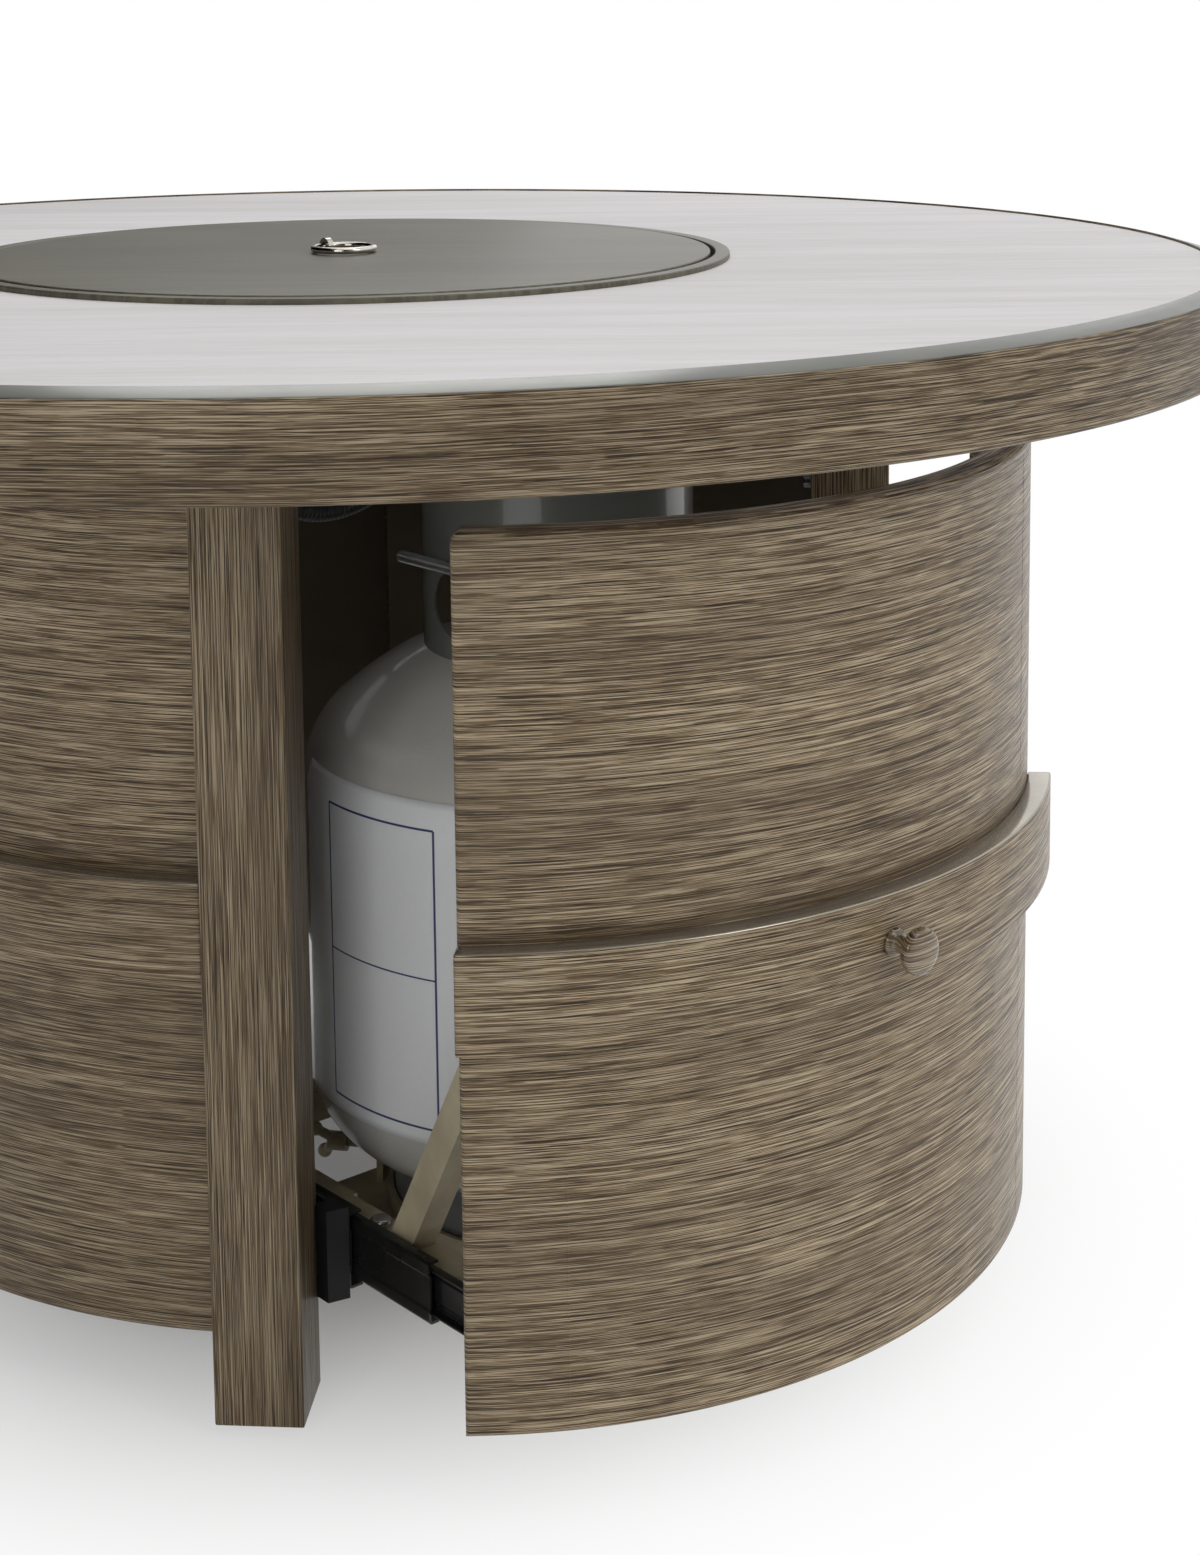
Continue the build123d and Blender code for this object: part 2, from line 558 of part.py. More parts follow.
def slides():
    """Three-part ball slides, their rails and end blocks on both sides."""
    back = -SLIDE_X
    front = -SLIDE_X + SLIDE_WIDTH
    step = SLIDE_STEEL + SLIDE_BALL_GAP
    third = SLIDE_WIDTH / 3
    outer_y = (SLIDE_FRONT_Y, SLIDE_FRONT_Y + SLIDE_LENGTH)
    outer = slide_member(slide_profile(0, back, front - SLIDE_STEEL * 2, back, 1), *outer_y)
    middle_y = [y - DRAWER_OPEN / 2 for y in outer_y]
    middle_back = back + third
    middle = slide_member(slide_profile(step, middle_back, front - SLIDE_STEEL, middle_back, 1), *middle_y)
    inner_y = [y - DRAWER_OPEN for y in outer_y]
    inner = slide_member(slide_profile(step * 2, back + third + step / 2, front, front, -1), *inner_y)
    retainers = []
    retainer_x = back + third + SLIDE_STEEL * 2
    race_mid_y = sum(middle_y) / 2
    for race in (1, 3):
        height = SLIDE_HEIGHT / 2 - SLIDE_STEEL * (race + 1) / 2 - SLIDE_BALL_GAP * race / 2
        for way in (-1, 1):
            z = SLIDE_MID_Z + way * height
            reach = BALL_PITCH * BALL_COUNT / 2
            strip = Pos(retainer_x, race_mid_y, z) * Box(RETAINER_WIDTH, reach * 2, RETAINER_THICKNESS)
            for i in range(BALL_COUNT):
                ball_y = race_mid_y + (i + 0.5) * BALL_PITCH - reach
                strip += Pos(retainer_x, ball_y, z) * Sphere(BALL_RADIUS)
            retainers.append(strip)
    PARTS["slide_outer_left"] = outer
    PARTS["slide_outer_right"] = mirrored(outer)
    PARTS["slide_middle_left"] = middle
    PARTS["slide_middle_right"] = mirrored(middle)
    PARTS["slide_inner_left"] = inner
    PARTS["slide_inner_right"] = mirrored(inner)
    PARTS["slide_ball_cages"] = Compound(retainers + [mirrored(strip) for strip in retainers])

    tip = (-LEG_TIP_X, -LEG_X)
    far = back - BASE_RAIL_WIDTH
    rail_low = SLIDE_MID_Z - BASE_RAIL_HEIGHT / 2
    seat = tip[0] + tip[1]
    rail = prism(
        [(back, tip[1]), tip, (far, seat - far), (far, far - seat), (tip[0], -tip[1]), (back, -tip[1])],
        rail_low,
        rail_low + BASE_RAIL_HEIGHT,
    )
    PARTS["base_rail_left"] = rail
    PARTS["base_rail_right"] = mirrored(rail)
    reach = back - SLIDE_BLOCK_REACH
    slope = tip[0] - tip[1]
    front_y = SLIDE_FRONT_Y - SLIDE_BLOCK_FRONT
    side_y = front_y + SLIDE_BLOCK_FRONT * 3
    end_block = prism(
        [(back, tip[1]), (back, front_y), (reach, side_y), (reach, reach - slope), tip],
        SLIDE_MID_Z - SLIDE_BLOCK_HEIGHT / 2,
        SLIDE_MID_Z + SLIDE_BLOCK_HEIGHT / 2,
    )
    PARTS["slide_end_blocks"] = Compound([end_block, mirrored(end_block)])


def drawer_shell():
    """Curved drawer front with stiffeners, band, knob and cylinder guard."""
    front = folded_panel(DRAWER_GAP, (-STIFFENER_X, STIFFENER_X))
    place = Pos(0, -DRAWER_OPEN, 0) * Rot(0, 0, DRAWER_ANGLE)
    PARTS["drawer_front"] = place * front
    PARTS["drawer_band"] = place * belt_band(DRAWER_GAP)

    foot = KNOB_FOOT_THICKNESS
    head = KNOB_PROUD - KNOB_HEAD_THICKNESS
    outline = Polyline(
        (0, 0),
        (KNOB_FOOT_RADIUS, 0),
        (KNOB_FOOT_RADIUS, foot / 2),
        (KNOB_NECK_RADIUS, foot * 2),
        (KNOB_NECK_RADIUS, head - foot),
        (KNOB_HEAD_RADIUS, head + KNOB_HEAD_THICKNESS / 3),
    )
    crown_height = KNOB_HEAD_THICKNESS * 2 / 3
    crown_radius = (KNOB_HEAD_RADIUS ** 2 + crown_height ** 2) / (2 * crown_height)
    half_turn = asin(KNOB_HEAD_RADIUS / crown_radius) / 2
    crown = ThreePointArc(
        (KNOB_HEAD_RADIUS, KNOB_PROUD - crown_height),
        (crown_radius * sin(half_turn), KNOB_PROUD - crown_radius * (1 - cos(half_turn))),
        (0, KNOB_PROUD),
    )
    spine = Line((0, KNOB_PROUD), (0, 0))
    knob = revolve(Plane.XZ * make_face(outline.edges() + crown.edges() + spine.edges()), Axis.Z)
    PARTS["drawer_knob"] = place * Pos(BAND_RADIUS, 0, BAND_MID) * Rot(0, 90, 0) * knob

    strap_z = (GUARD_Z - GUARD_STRAP_HEIGHT / 2, GUARD_Z + GUARD_STRAP_HEIGHT / 2)
    strap_outer = PANEL_INNER_RADIUS
    reach = STIFFENER_X + STIFFENER_WIDTH / 2
    strap = tube(strap_outer - GUARD_STRAP, strap_outer, *strap_z)
    strap &= block(0, DRUM_RADIUS, -reach, reach, *strap_z)
    guard = place * strap
    root_y = -DRAWER_OPEN - sqrt((strap_outer - GUARD_STRAP / 2) ** 2 - GUARD_ROD_X ** 2)
    for x in (-GUARD_ROD_X, GUARD_ROD_X):
        guard += rod((x, root_y, GUARD_Z), (x, GUARD_END_Y, GUARD_Z), GUARD_ROD_RADIUS)
        guard += Pos(x, GUARD_END_Y, GUARD_Z) * Sphere(GUARD_ROD_RADIUS)
    PARTS["cylinder_guard"] = guard


def tray():
    """Tube frame on the inner slide members, floor plate, seat ring and braces."""
    outside = TRAY_HALF_WIDTH
    inside = outside - TRAY_RAIL
    low = TRAY_RAIL_TOP - TRAY_RAIL
    wall = TRAY_TUBE_WALL
    fit = Pos(0, -DRAWER_OPEN, 0) * Cylinder(PANEL_INNER_RADIUS, TABLE_HEIGHT, align=BASE)
    frame_front = -DRAWER_OPEN - DRUM_RADIUS
    frame = None
    for x0 in (-outside, inside):
        x1 = x0 + TRAY_RAIL
        bar = block(x0, x1, frame_front, TRAY_CROSS_REAR_Y + TRAY_RAIL / 2, low, TRAY_RAIL_TOP)
        bar -= block(x0 + wall, x1 - wall, frame_front, TRAY_CROSS_REAR_Y, low + wall, TRAY_RAIL_TOP - wall)
        bar &= fit
        frame = bar if frame is None else frame + bar
    for y in (TRAY_CROSS_FRONT_Y, TRAY_CROSS_REAR_Y):
        bar = block(-inside, inside, y - TRAY_RAIL / 2, y + TRAY_RAIL / 2, low, TRAY_RAIL_TOP)
        half = TRAY_RAIL / 2 - wall
        bar -= block(-inside, inside, y - half, y + half, low + wall, TRAY_RAIL_TOP - wall)
        frame += bar
    PARTS["tray_frame"] = frame

    floor = Pos(0, TANK_Y, TRAY_FLOOR - TRAY_SHEET) * Cylinder(TRAY_DISC_RADIUS, TRAY_SHEET, align=BASE)
    for strip_start, strip_end in TRAY_STRIPS:
        y0 = TANK_Y + strip_start
        y1 = TANK_Y + strip_end
        floor += block(-inside, inside, y0, y1, TRAY_FLOOR - TRAY_SHEET, TRAY_FLOOR)
        for x0 in (-inside, inside - TRAY_SHEET):
            floor += block(x0, x0 + TRAY_SHEET, y0, y1, TRAY_FLOOR - TRAY_SHEET, TRAY_RAIL_TOP)
    tab = block(
        CLAMP_TAB_RADIUS - CLAMP_TAB / 2,
        CLAMP_TAB_RADIUS + CLAMP_TAB / 2,
        -CLAMP_TAB_WIDTH / 2,
        CLAMP_TAB_WIDTH / 2,
        TRAY_FLOOR,
        WING_Z + CLAMP_TAB_WIDTH / 2,
    )
    tab -= rod((0, 0, WING_Z), (TANK_RADIUS, 0, WING_Z), WING_SCREW_RADIUS + FIT)
    floor += Pos(0, TANK_Y, 0) * facing(WING_ANGLE, tab)
    PARTS["tray_floor"] = floor

    seat = FOOT_RADIUS + SEAT_CLEARANCE
    seat_ring = tube(seat, seat + SEAT_RING_WALL, TRAY_FLOOR, TRAY_FLOOR + SEAT_RING_HEIGHT)
    PARTS["cylinder_seat"] = Pos(0, TANK_Y, 0) * seat_ring

    brace_x = outside - TRAY_RAIL / 2
    head_y = -DRAWER_OPEN - sqrt(PANEL_INNER_RADIUS ** 2 - brace_x ** 2)
    rise = BRACE_HEAD_Z - TRAY_RAIL_TOP
    run = head_y - BRACE_FOOT_Y
    lean = degrees(atan2(run, rise))
    length = hypot(run, rise) + BRACE_WIDTH * 2
    brace = Box(BRACE_WIDTH, BRACE_WIDTH, length, align=BASE)
    hollow = BRACE_WIDTH - wall * 2
    brace -= Box(hollow, hollow, length, align=BASE)
    brace = Pos(brace_x, BRACE_FOOT_Y, TRAY_RAIL_TOP) * Rot(-lean, 0, 0) * Pos(0, 0, -BRACE_WIDTH) * brace
    brace &= fit
    brace &= block(0, outside + TRAY_RAIL, frame_front, 0, TRAY_RAIL_TOP, PANEL_TOP)
    PARTS["brace_right"] = brace
    PARTS["brace_left"] = mirrored(brace)


def domed_head(radius, height, knuckle):
    """Outline points of a domed head: edge, knuckle middle, tangent point, crown middle, apex."""
    reach = radius - knuckle
    crown = (reach ** 2 + height ** 2 - knuckle ** 2) / (2 * (height - knuckle))
    tilt = atan2(reach, crown - height)
    half = (pi / 2 - tilt) / 2
    knuckle_mid = (reach + knuckle * cos(half), knuckle * sin(half))
    tangent = (reach + knuckle * sin(tilt), knuckle * cos(tilt))
    crown_mid = (crown * sin(tilt / 2), height - crown * (1 - cos(tilt / 2)))
    return [(radius, 0), knuckle_mid, tangent, crown_mid, (0, height)]


def tank_solid(inset):
    """Cylinder body with domed ends, drawn a given inset inside its skin."""
    radius = TANK_RADIUS - inset
    edges = [Line((radius, TANK_BELLY_Z), (radius, TANK_SHOULDER_Z))]
    ends = []
    for z, way, height, knuckle in (
        (TANK_SHOULDER_Z, 1, TANK_HEAD_HEIGHT, TANK_HEAD_KNUCKLE),
        (TANK_BELLY_Z, -1, TANK_BASE_HEIGHT, TANK_BASE_KNUCKLE),
    ):
        head = [(x, z + way * y) for x, y in domed_head(radius, height - inset, knuckle - inset)]
        edges.append(ThreePointArc(*head[:3]))
        edges.append(ThreePointArc(*head[2:]))
        ends.append(head[-1])
    edges.append(Line(*ends))
    outline = make_face([edge.edge() for edge in edges])
    return revolve(Plane.XZ * outline, Axis.Z)


def sector(angle0, angle1, radius, z0, z1):
    """Upright pie slice between two angles in degrees, under 180 apart."""
    reach = radius / cos(radians(angle1 - angle0) / 2)
    points = [(0, 0)] + [(reach * cos(radians(a)), reach * sin(radians(a))) for a in (angle0, angle1)]
    mid = radians((angle0 + angle1) / 2)
    points.insert(2, (reach * cos(mid), reach * sin(mid)))
    return prism(points, z0, z1)


def gas_cylinder():
    """Cylinder shell, foot ring, collar, blank label, valve, handwheel and wing screw."""
    place = Pos(0, TANK_Y, 0)
    skin = tank_solid(0)
    PARTS["tank_shell"] = place * (skin - tank_solid(TANK_WALL))
    foot = tube(FOOT_RADIUS - FOOT_WALL, FOOT_RADIUS, TRAY_FLOOR, TANK_BELLY_Z)
    PARTS["tank_foot"] = place * (foot - skin)
    collar_in = COLLAR_RADIUS - COLLAR_WALL
    collar = tube(collar_in, COLLAR_RADIUS, TANK_SHOULDER_Z, TANK_TOP)
    collar += tube(collar_in, COLLAR_RADIUS + COLLAR_LIP, TANK_TOP - COLLAR_LIP_HEIGHT, TANK_TOP)
    collar -= skin
    mouth = COLLAR_MOUTH / 2
    collar -= sector(90 - mouth, 90 + mouth, COLLAR_RADIUS * 2, TANK_SHOULDER_Z, TANK_TOP)
    hole_low = TANK_TOP - HANDHOLE_BOTTOM
    hole_high = TANK_TOP - HANDHOLE_TOP
    hole_mid = (hole_low + hole_high) / 2
    chord = COLLAR_RADIUS * radians(HANDHOLE_WIDTH) / 2
    for angle in HANDHOLE_ANGLES:
        oval = Pos(0, hole_mid) * SlotOverall(chord * 2, hole_high - hole_low)
        cutter = extrude(Plane.YZ * oval, COLLAR_RADIUS * 2)
        collar -= facing(angle, cutter)
    PARTS["tank_collar"] = place * collar
    label_in = TANK_RADIUS + LABEL_GAP
    label_low = TANK_BELLY_Z + LABEL_MARGIN_BOTTOM
    label = tube(label_in, label_in + LABEL_THICKNESS, label_low, TANK_SHOULDER_Z - LABEL_MARGIN_TOP)
    label &= sector(*LABEL_ANGLES, TANK_RADIUS * 2, TANK_BELLY_Z, TANK_SHOULDER_Z)
    PARTS["tank_label"] = place * label

    valve_top = TANK_APEX_Z + VALVE_HEIGHT
    valve = Pos(0, 0, TANK_SHOULDER_Z) * Cylinder(VALVE_RADIUS, valve_top - TANK_SHOULDER_Z, align=BASE)
    outlet_z = (TANK_APEX_Z + valve_top) / 2
    valve += rod((0, 0, outlet_z), (0, OUTLET_LENGTH, outlet_z), OUTLET_RADIUS)
    valve += Pos(0, 0, valve_top) * Cylinder(STEM_RADIUS, STEM_HEIGHT, align=BASE)
    valve -= rod((0, VALVE_RADIUS * 2, outlet_z), (0, OUTLET_LENGTH, outlet_z), OUTLET_RADIUS / 2)
    PARTS["tank_valve"] = place * (valve - skin)
    wheel = Cylinder(HANDWHEEL_RADIUS, HANDWHEEL_HEIGHT, align=BASE)
    for i in range(HANDWHEEL_LOBES):
        notch = post(HANDWHEEL_RADIUS / 4, HANDWHEEL_RADIUS * 1.12, 0, 0, HANDWHEEL_HEIGHT)
        wheel -= facing(i * 360 / HANDWHEEL_LOBES, notch)
    wheel -= Cylinder(STEM_RADIUS + FIT, STEM_HEIGHT, align=BASE)
    PARTS["tank_handwheel"] = place * Pos(0, 0, valve_top + STEM_HEIGHT - HANDWHEEL_HEIGHT) * wheel

    screw = rod((FOOT_RADIUS + FIT, 0, WING_Z), (WING_HUB, 0, WING_Z), WING_SCREW_RADIUS)
    hub_length = WING_SCREW_RADIUS * 4
    hub_radius = WING_SCREW_RADIUS * 2
    screw += rod((WING_HUB - hub_length, 0, WING_Z), (WING_HUB, 0, WING_Z), hub_radius)
    wing_reach = hub_radius * 3
    for side in (-1, 1):
        tip = (WING_HUB + hub_radius, side * wing_reach * 0.5, WING_Z + side * wing_reach * 0.62)
        screw += rod((WING_HUB - hub_length / 2, 0, WING_Z), tip, WING_SCREW_RADIUS)
        screw += Pos(*tip) * Sphere(WING_SCREW_RADIUS * 1.5)
    PARTS["wing_screw"] = place * facing(WING_ANGLE, screw)


def gas_controls():
    """Control plate, gas valve, igniter, knob, button and the corrugated line."""
    half_y = DRUM_RADIUS * sin(radians(CONTROL_HALF_ANGLE))
    low = CONTROL_Z - CONTROL_HEIGHT / 2
    plate = tube(DRUM_RADIUS, DRUM_RADIUS + CONTROL_PLATE, low, low + CONTROL_HEIGHT)
    plate &= block(0, BAND_RADIUS, -half_y, half_y, low, low + CONTROL_HEIGHT)
    gas_y = CONTROL_SPREAD
    spark_y = -CONTROL_SPREAD
    for y, radius in ((gas_y, GAS_NECK_RADIUS), (spark_y, IGNITER_RADIUS)):
        plate -= rod((0, y, CONTROL_Z), (BAND_RADIUS, y, CONTROL_Z), radius + FIT)
    PARTS["control_plate"] = plate

    body_back = GAS_BODY_FRONT - GAS_BODY
    valve = Pos((body_back + GAS_BODY_FRONT) / 2, gas_y, CONTROL_Z) * Box(GAS_BODY, GAS_BODY, GAS_BODY)
    valve += rod((GAS_BODY_FRONT, gas_y, CONTROL_Z), (GAS_NECK_FRONT, gas_y, CONTROL_Z), GAS_NECK_RADIUS)
    valve += rod((GAS_NECK_FRONT, gas_y, CONTROL_Z), (GAS_STEM_FRONT, gas_y, CONTROL_Z), STEM_RADIUS)
    hose_x, hose_z = HOSE_ROUTE[-1]
    valve += rod((hose_x, HOSE_Y, hose_z), (body_back, HOSE_Y, hose_z), FITTING_RADIUS)
    inlet_x = (body_back + GAS_BODY_FRONT) / 2
    inlet_z = CONTROL_Z - GAS_BODY / 2
    valve += rod((inlet_x, gas_y, inlet_z), (inlet_x, gas_y, inlet_z - GAS_BODY / 2), FITTING_RADIUS)
    valve -= rod((inlet_x, gas_y, inlet_z), (inlet_x, gas_y, inlet_z - GAS_BODY / 2), HOSE_BORE_RADIUS)
    PARTS["gas_valve"] = valve

    knob_back = GAS_NECK_FRONT + FIT
    disc_front = knob_back + CONTROL_KNOB_DEPTH / 2
    knob = rod((knob_back, gas_y, CONTROL_Z), (disc_front, gas_y, CONTROL_Z), CONTROL_KNOB_RADIUS)
    finger = CONTROL_FINGER / 2
    knob += block(
        knob_back,
        knob_back + CONTROL_KNOB_DEPTH,
        gas_y - finger,
        gas_y + finger,
        CONTROL_Z - CONTROL_KNOB_RADIUS * 0.92,
        CONTROL_Z + CONTROL_KNOB_RADIUS * 0.92,
    )
    knob -= rod((knob_back, gas_y, CONTROL_Z), (GAS_STEM_FRONT + FIT, gas_y, CONTROL_Z), STEM_RADIUS + FIT)
    PARTS["control_knob"] = knob

    bezel_back = DRUM_RADIUS + CONTROL_PLATE
    bezel_front = bezel_back + CONTROL_PLATE
    igniter_back = bezel_front - IGNITER_LENGTH
    igniter = rod((igniter_back, spark_y, CONTROL_Z), (bezel_front, spark_y, CONTROL_Z), IGNITER_RADIUS)
    igniter += rod((bezel_back, spark_y, CONTROL_Z), (bezel_front, spark_y, CONTROL_Z), BEZEL_RADIUS)
    button_back = bezel_front + BUTTON_PROUD - BUTTON_LENGTH
    socket_back = button_back - BUTTON_TRAVEL - FIT
    socket = BUTTON_RADIUS + FIT
    igniter -= rod((socket_back, spark_y, CONTROL_Z), (bezel_front, spark_y, CONTROL_Z), socket)
    PARTS["igniter_module"] = igniter
    PARTS["igniter_button"] = rod(
        (button_back, spark_y, CONTROL_Z), (bezel_front + BUTTON_PROUD, spark_y, CONTROL_Z), BUTTON_RADIUS
    )


def hose_path():
    """Route of the corrugated line: straight runs joined by arcs as large as the runs allow."""
    points = [Vector(x, HOSE_Y, z) for x, z in HOSE_ROUTE]
    radii = []
    for before, here, after in zip(points, points[1:], points[2:]):
        turn = radians((here - before).get_angle(after - here))
        shorter = min((here - before).length, (after - here).length)
        radii.append(0.45 * shorter * cos(turn / 2) / sin(turn / 2))
    print("hose bend radii", [round(radius, 1) for radius in radii])
    return FilletPolyline(*points, radius=radii)


def gas_line():
    """Corrugated line with its bore and ribs, and the pipe that feeds the burner hub."""
    path = hose_path()
    length = path.length
    straight = HOSE_RADIUS * 2
    pitch = (length - straight * 2) / HOSE_RIBS

    def station(along, radius):
        """Circle of a radius square to the path at a distance along it."""
        at = min(max(along / length, 0), 1)
        plane = Plane(origin=path.position_at(at), x_dir=(0, 1, 0), z_dir=path.tangent_at(at))
        return plane * Circle(radius)

    root = HOSE_ROOT_RADIUS
    rib = ((0.1, root), (0.35, HOSE_RADIUS), (0.65, HOSE_RADIUS), (0.9, root))
    sections = [station(0, root)]
    for i in range(HOSE_RIBS):
        start = straight + i * pitch
        for share, radius in rib:
            sections.append(station(start + share * pitch, radius))
    sections.append(station(length, root))
    ribbed = loft(sections, ruled=True)
    bore = sweep(station(0, HOSE_BORE_RADIUS), path=path)
    hose = ribbed - bore
    bore_share = bore.volume / (pi * HOSE_BORE_RADIUS ** 2 * length)
    print("hose length", round(length, 1), "bore volume ratio", round(bore_share, 4))
    PARTS["burner_hose"] = hose

    hose_x, hose_z = HOSE_ROUTE[0]
    feed = post(LOCKNUT_RADIUS * 0.7, 0, 0, PIPE_Z - FITTING_RADIUS, PIPE_Z + FITTING_RADIUS)
    feed += rod((0, 0, PIPE_Z), (hose_x, HOSE_Y, PIPE_Z), FEED_PIPE_RADIUS)
    feed += Pos(hose_x, HOSE_Y, PIPE_Z) * Sphere(FITTING_RADIUS)
    feed += rod((hose_x, HOSE_Y, PIPE_Z), (hose_x, HOSE_Y, hose_z), FITTING_RADIUS)
    PARTS["burner_feed_pipe"] = feed


def fasteners():
    """Screw and bolt heads, grouped by the assembly that they hold."""
    frame = []
    half = LEG_WIDTH / 2
    for heading in LEG_ANGLES.values():
        for z in (PANEL_BOTTOM + BAND_HEIGHT, PANEL_TOP - BAND_HEIGHT):
            leg_face = LEG_RADIUS - half
            head = rod((leg_face, 0, z), (leg_face - BOLT_HEAD, 0, z), BOLT_HEAD_RADIUS)
            frame.append(facing(heading, head))
    PARTS["frame_screws"] = Compound(frame)
    lid_inside = LID_RADIUS - LID_EDGE
    screw_circle = (BOWL_RADIUS + lid_inside) / 2
    bowl = []
    for i in range(4):
        head = post(SCREW_RADIUS, screw_circle, 0, BOWL_FLANGE_TOP, BOWL_FLANGE_TOP + SCREW_HEAD)
        bowl.append(facing(i * 90, head))
    PARTS["bowl_screws"] = Compound(bowl)
    drawer = []
    bolt_x = TRAY_HALF_WIDTH - TRAY_RAIL / 2
    for x in (-bolt_x, bolt_x):
        for y in (BRACE_FOOT_Y + BRACE_WIDTH * 1.6, TRAY_CROSS_REAR_Y - TRAY_RAIL * 2):
            bolt = Pos(x, y, TRAY_RAIL_TOP) * Cylinder(BOLT_HEAD_RADIUS, BOLT_HEAD, align=BASE)
            drawer.append(fillet(bolt.edges().group_by(Axis.Z)[-1], BOLT_HEAD / 2))
    PARTS["tray_bolts"] = Compound(drawer)


table_top()
burner_opening()
burner()
legs_and_drum()
slides()
drawer_shell()
tray()
gas_cylinder()
gas_controls()
gas_line()
fasteners()

os.makedirs("parts", exist_ok=True)
for node, shape in PARTS.items():
    export_step(shape, os.path.join("parts", node + ".step"))
print(len(PARTS), "nodes")
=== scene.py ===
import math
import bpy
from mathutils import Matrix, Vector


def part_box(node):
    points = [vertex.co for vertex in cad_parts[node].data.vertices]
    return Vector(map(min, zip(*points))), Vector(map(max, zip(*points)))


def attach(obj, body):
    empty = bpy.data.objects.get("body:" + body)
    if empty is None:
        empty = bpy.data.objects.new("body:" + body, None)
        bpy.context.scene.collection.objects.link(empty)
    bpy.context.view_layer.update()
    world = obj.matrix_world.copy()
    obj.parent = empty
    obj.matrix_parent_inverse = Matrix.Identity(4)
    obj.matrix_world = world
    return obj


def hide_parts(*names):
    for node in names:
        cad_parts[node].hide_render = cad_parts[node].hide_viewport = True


bl_info = {
    "name": "Round Fire Pit Table",
    "version": (1, 0, 0),
    "blender": (4, 5, 0),
    "location": "View3D > Sidebar > Fire Pit",
    "description": "Dresses a round fire pit table with a gas cylinder drawer and sets its studio",
    "category": "Object",
}

import bmesh
import bpy
import numpy as np
from bpy.props import FloatProperty, FloatVectorProperty, IntProperty, PointerProperty
from mathutils import Matrix, Vector

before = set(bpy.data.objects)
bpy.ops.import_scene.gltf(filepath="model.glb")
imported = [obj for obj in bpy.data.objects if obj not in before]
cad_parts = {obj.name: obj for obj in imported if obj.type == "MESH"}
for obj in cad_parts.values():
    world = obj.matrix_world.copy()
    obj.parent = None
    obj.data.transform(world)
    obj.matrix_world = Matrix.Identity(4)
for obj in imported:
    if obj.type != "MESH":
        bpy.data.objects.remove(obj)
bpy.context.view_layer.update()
MM = 0.001


# Sizes taken from the fixed frame

def reach(node):
    """Outer radius of a round node centred on the table's axis."""
    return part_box(node)[1][0]


def span(node, axis):
    """Lowest and highest value of a node along one axis."""
    low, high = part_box(node)
    return low[axis], high[axis]


TOP_RADIUS = reach("top_rim")
DRAWER_OUT = -span("slide_inner_left", 1)[0] + span("slide_outer_left", 1)[0]
PANEL_LOW, PANEL_HIGH = span("panel_left", 2)
BAND_LOW, BAND_HIGH = span("band_left", 2)
TANK_Y = sum(span("tank_foot", 1)) / 2
TANK_RADIUS = span("tank_shell", 0)[1]


# Sizes of the sheet metal, the cylinder and its label. LEG_FACE is a leg's outer face from the axis,
# PAINTED_SHADE_RISE the height of the painted shade above a band, STIFFENER_X a stiffener's middle,
# and LABEL_HIGHER and LABEL_LOWER are how far the label reaches past the ends of its node.

TILE_DROP = 1.0 * MM
LEG_WIDTH = 50 * MM
LEG_FACE = 353 * MM
DRUM_RADIUS = 337 * MM
BAND_RADIUS = 351 * MM
SHEET = 3 * MM
FLANGE_DEPTH = 18 * MM
PANEL_CORNER = 5 * MM
PAINTED_SHADE_RISE = 9 * MM
DRAWER_GAP = 2 * MM
STIFFENER_X = 163.3 * MM
STIFFENER_HALF = 12 * MM
HEAD_HEIGHT, HEAD_KNUCKLE = 96 * MM, 60 * MM
BASE_HEIGHT, BASE_KNUCKLE = 80 * MM, 50 * MM
WELD_STEP = 0.3 * MM
LABEL_ANGLES = (157, 300)
LABEL_HIGHER = 24 * MM
LABEL_LOWER = 13 * MM
LABEL_LIFT = 0.55 * MM


# Numbers to meshes

def grid_quads(rows, columns, wrap_rows=False, wrap_columns=False):
    """Corner indices of the quads of a grid of points, row by row."""
    i = np.arange(rows if wrap_rows else rows - 1)
    j = np.arange(columns if wrap_columns else columns - 1)
    i, j = np.meshgrid(i, j, indexing="ij")
    i2, j2 = (i + 1) % rows, (j + 1) % columns
    corners = [i * columns + j, i2 * columns + j, i2 * columns + j2, i * columns + j2]
    return np.stack([c.ravel() for c in corners], axis=1)


def capped(rows, columns):
    """Faces of a tube of rows of points: its quads and a cap on each end."""
    faces = [list(quad) for quad in grid_quads(rows, columns, False, True)]
    faces.append(list(range(columns))[::-1])
    faces.append(list(range((rows - 1) * columns, rows * columns)))
    return faces


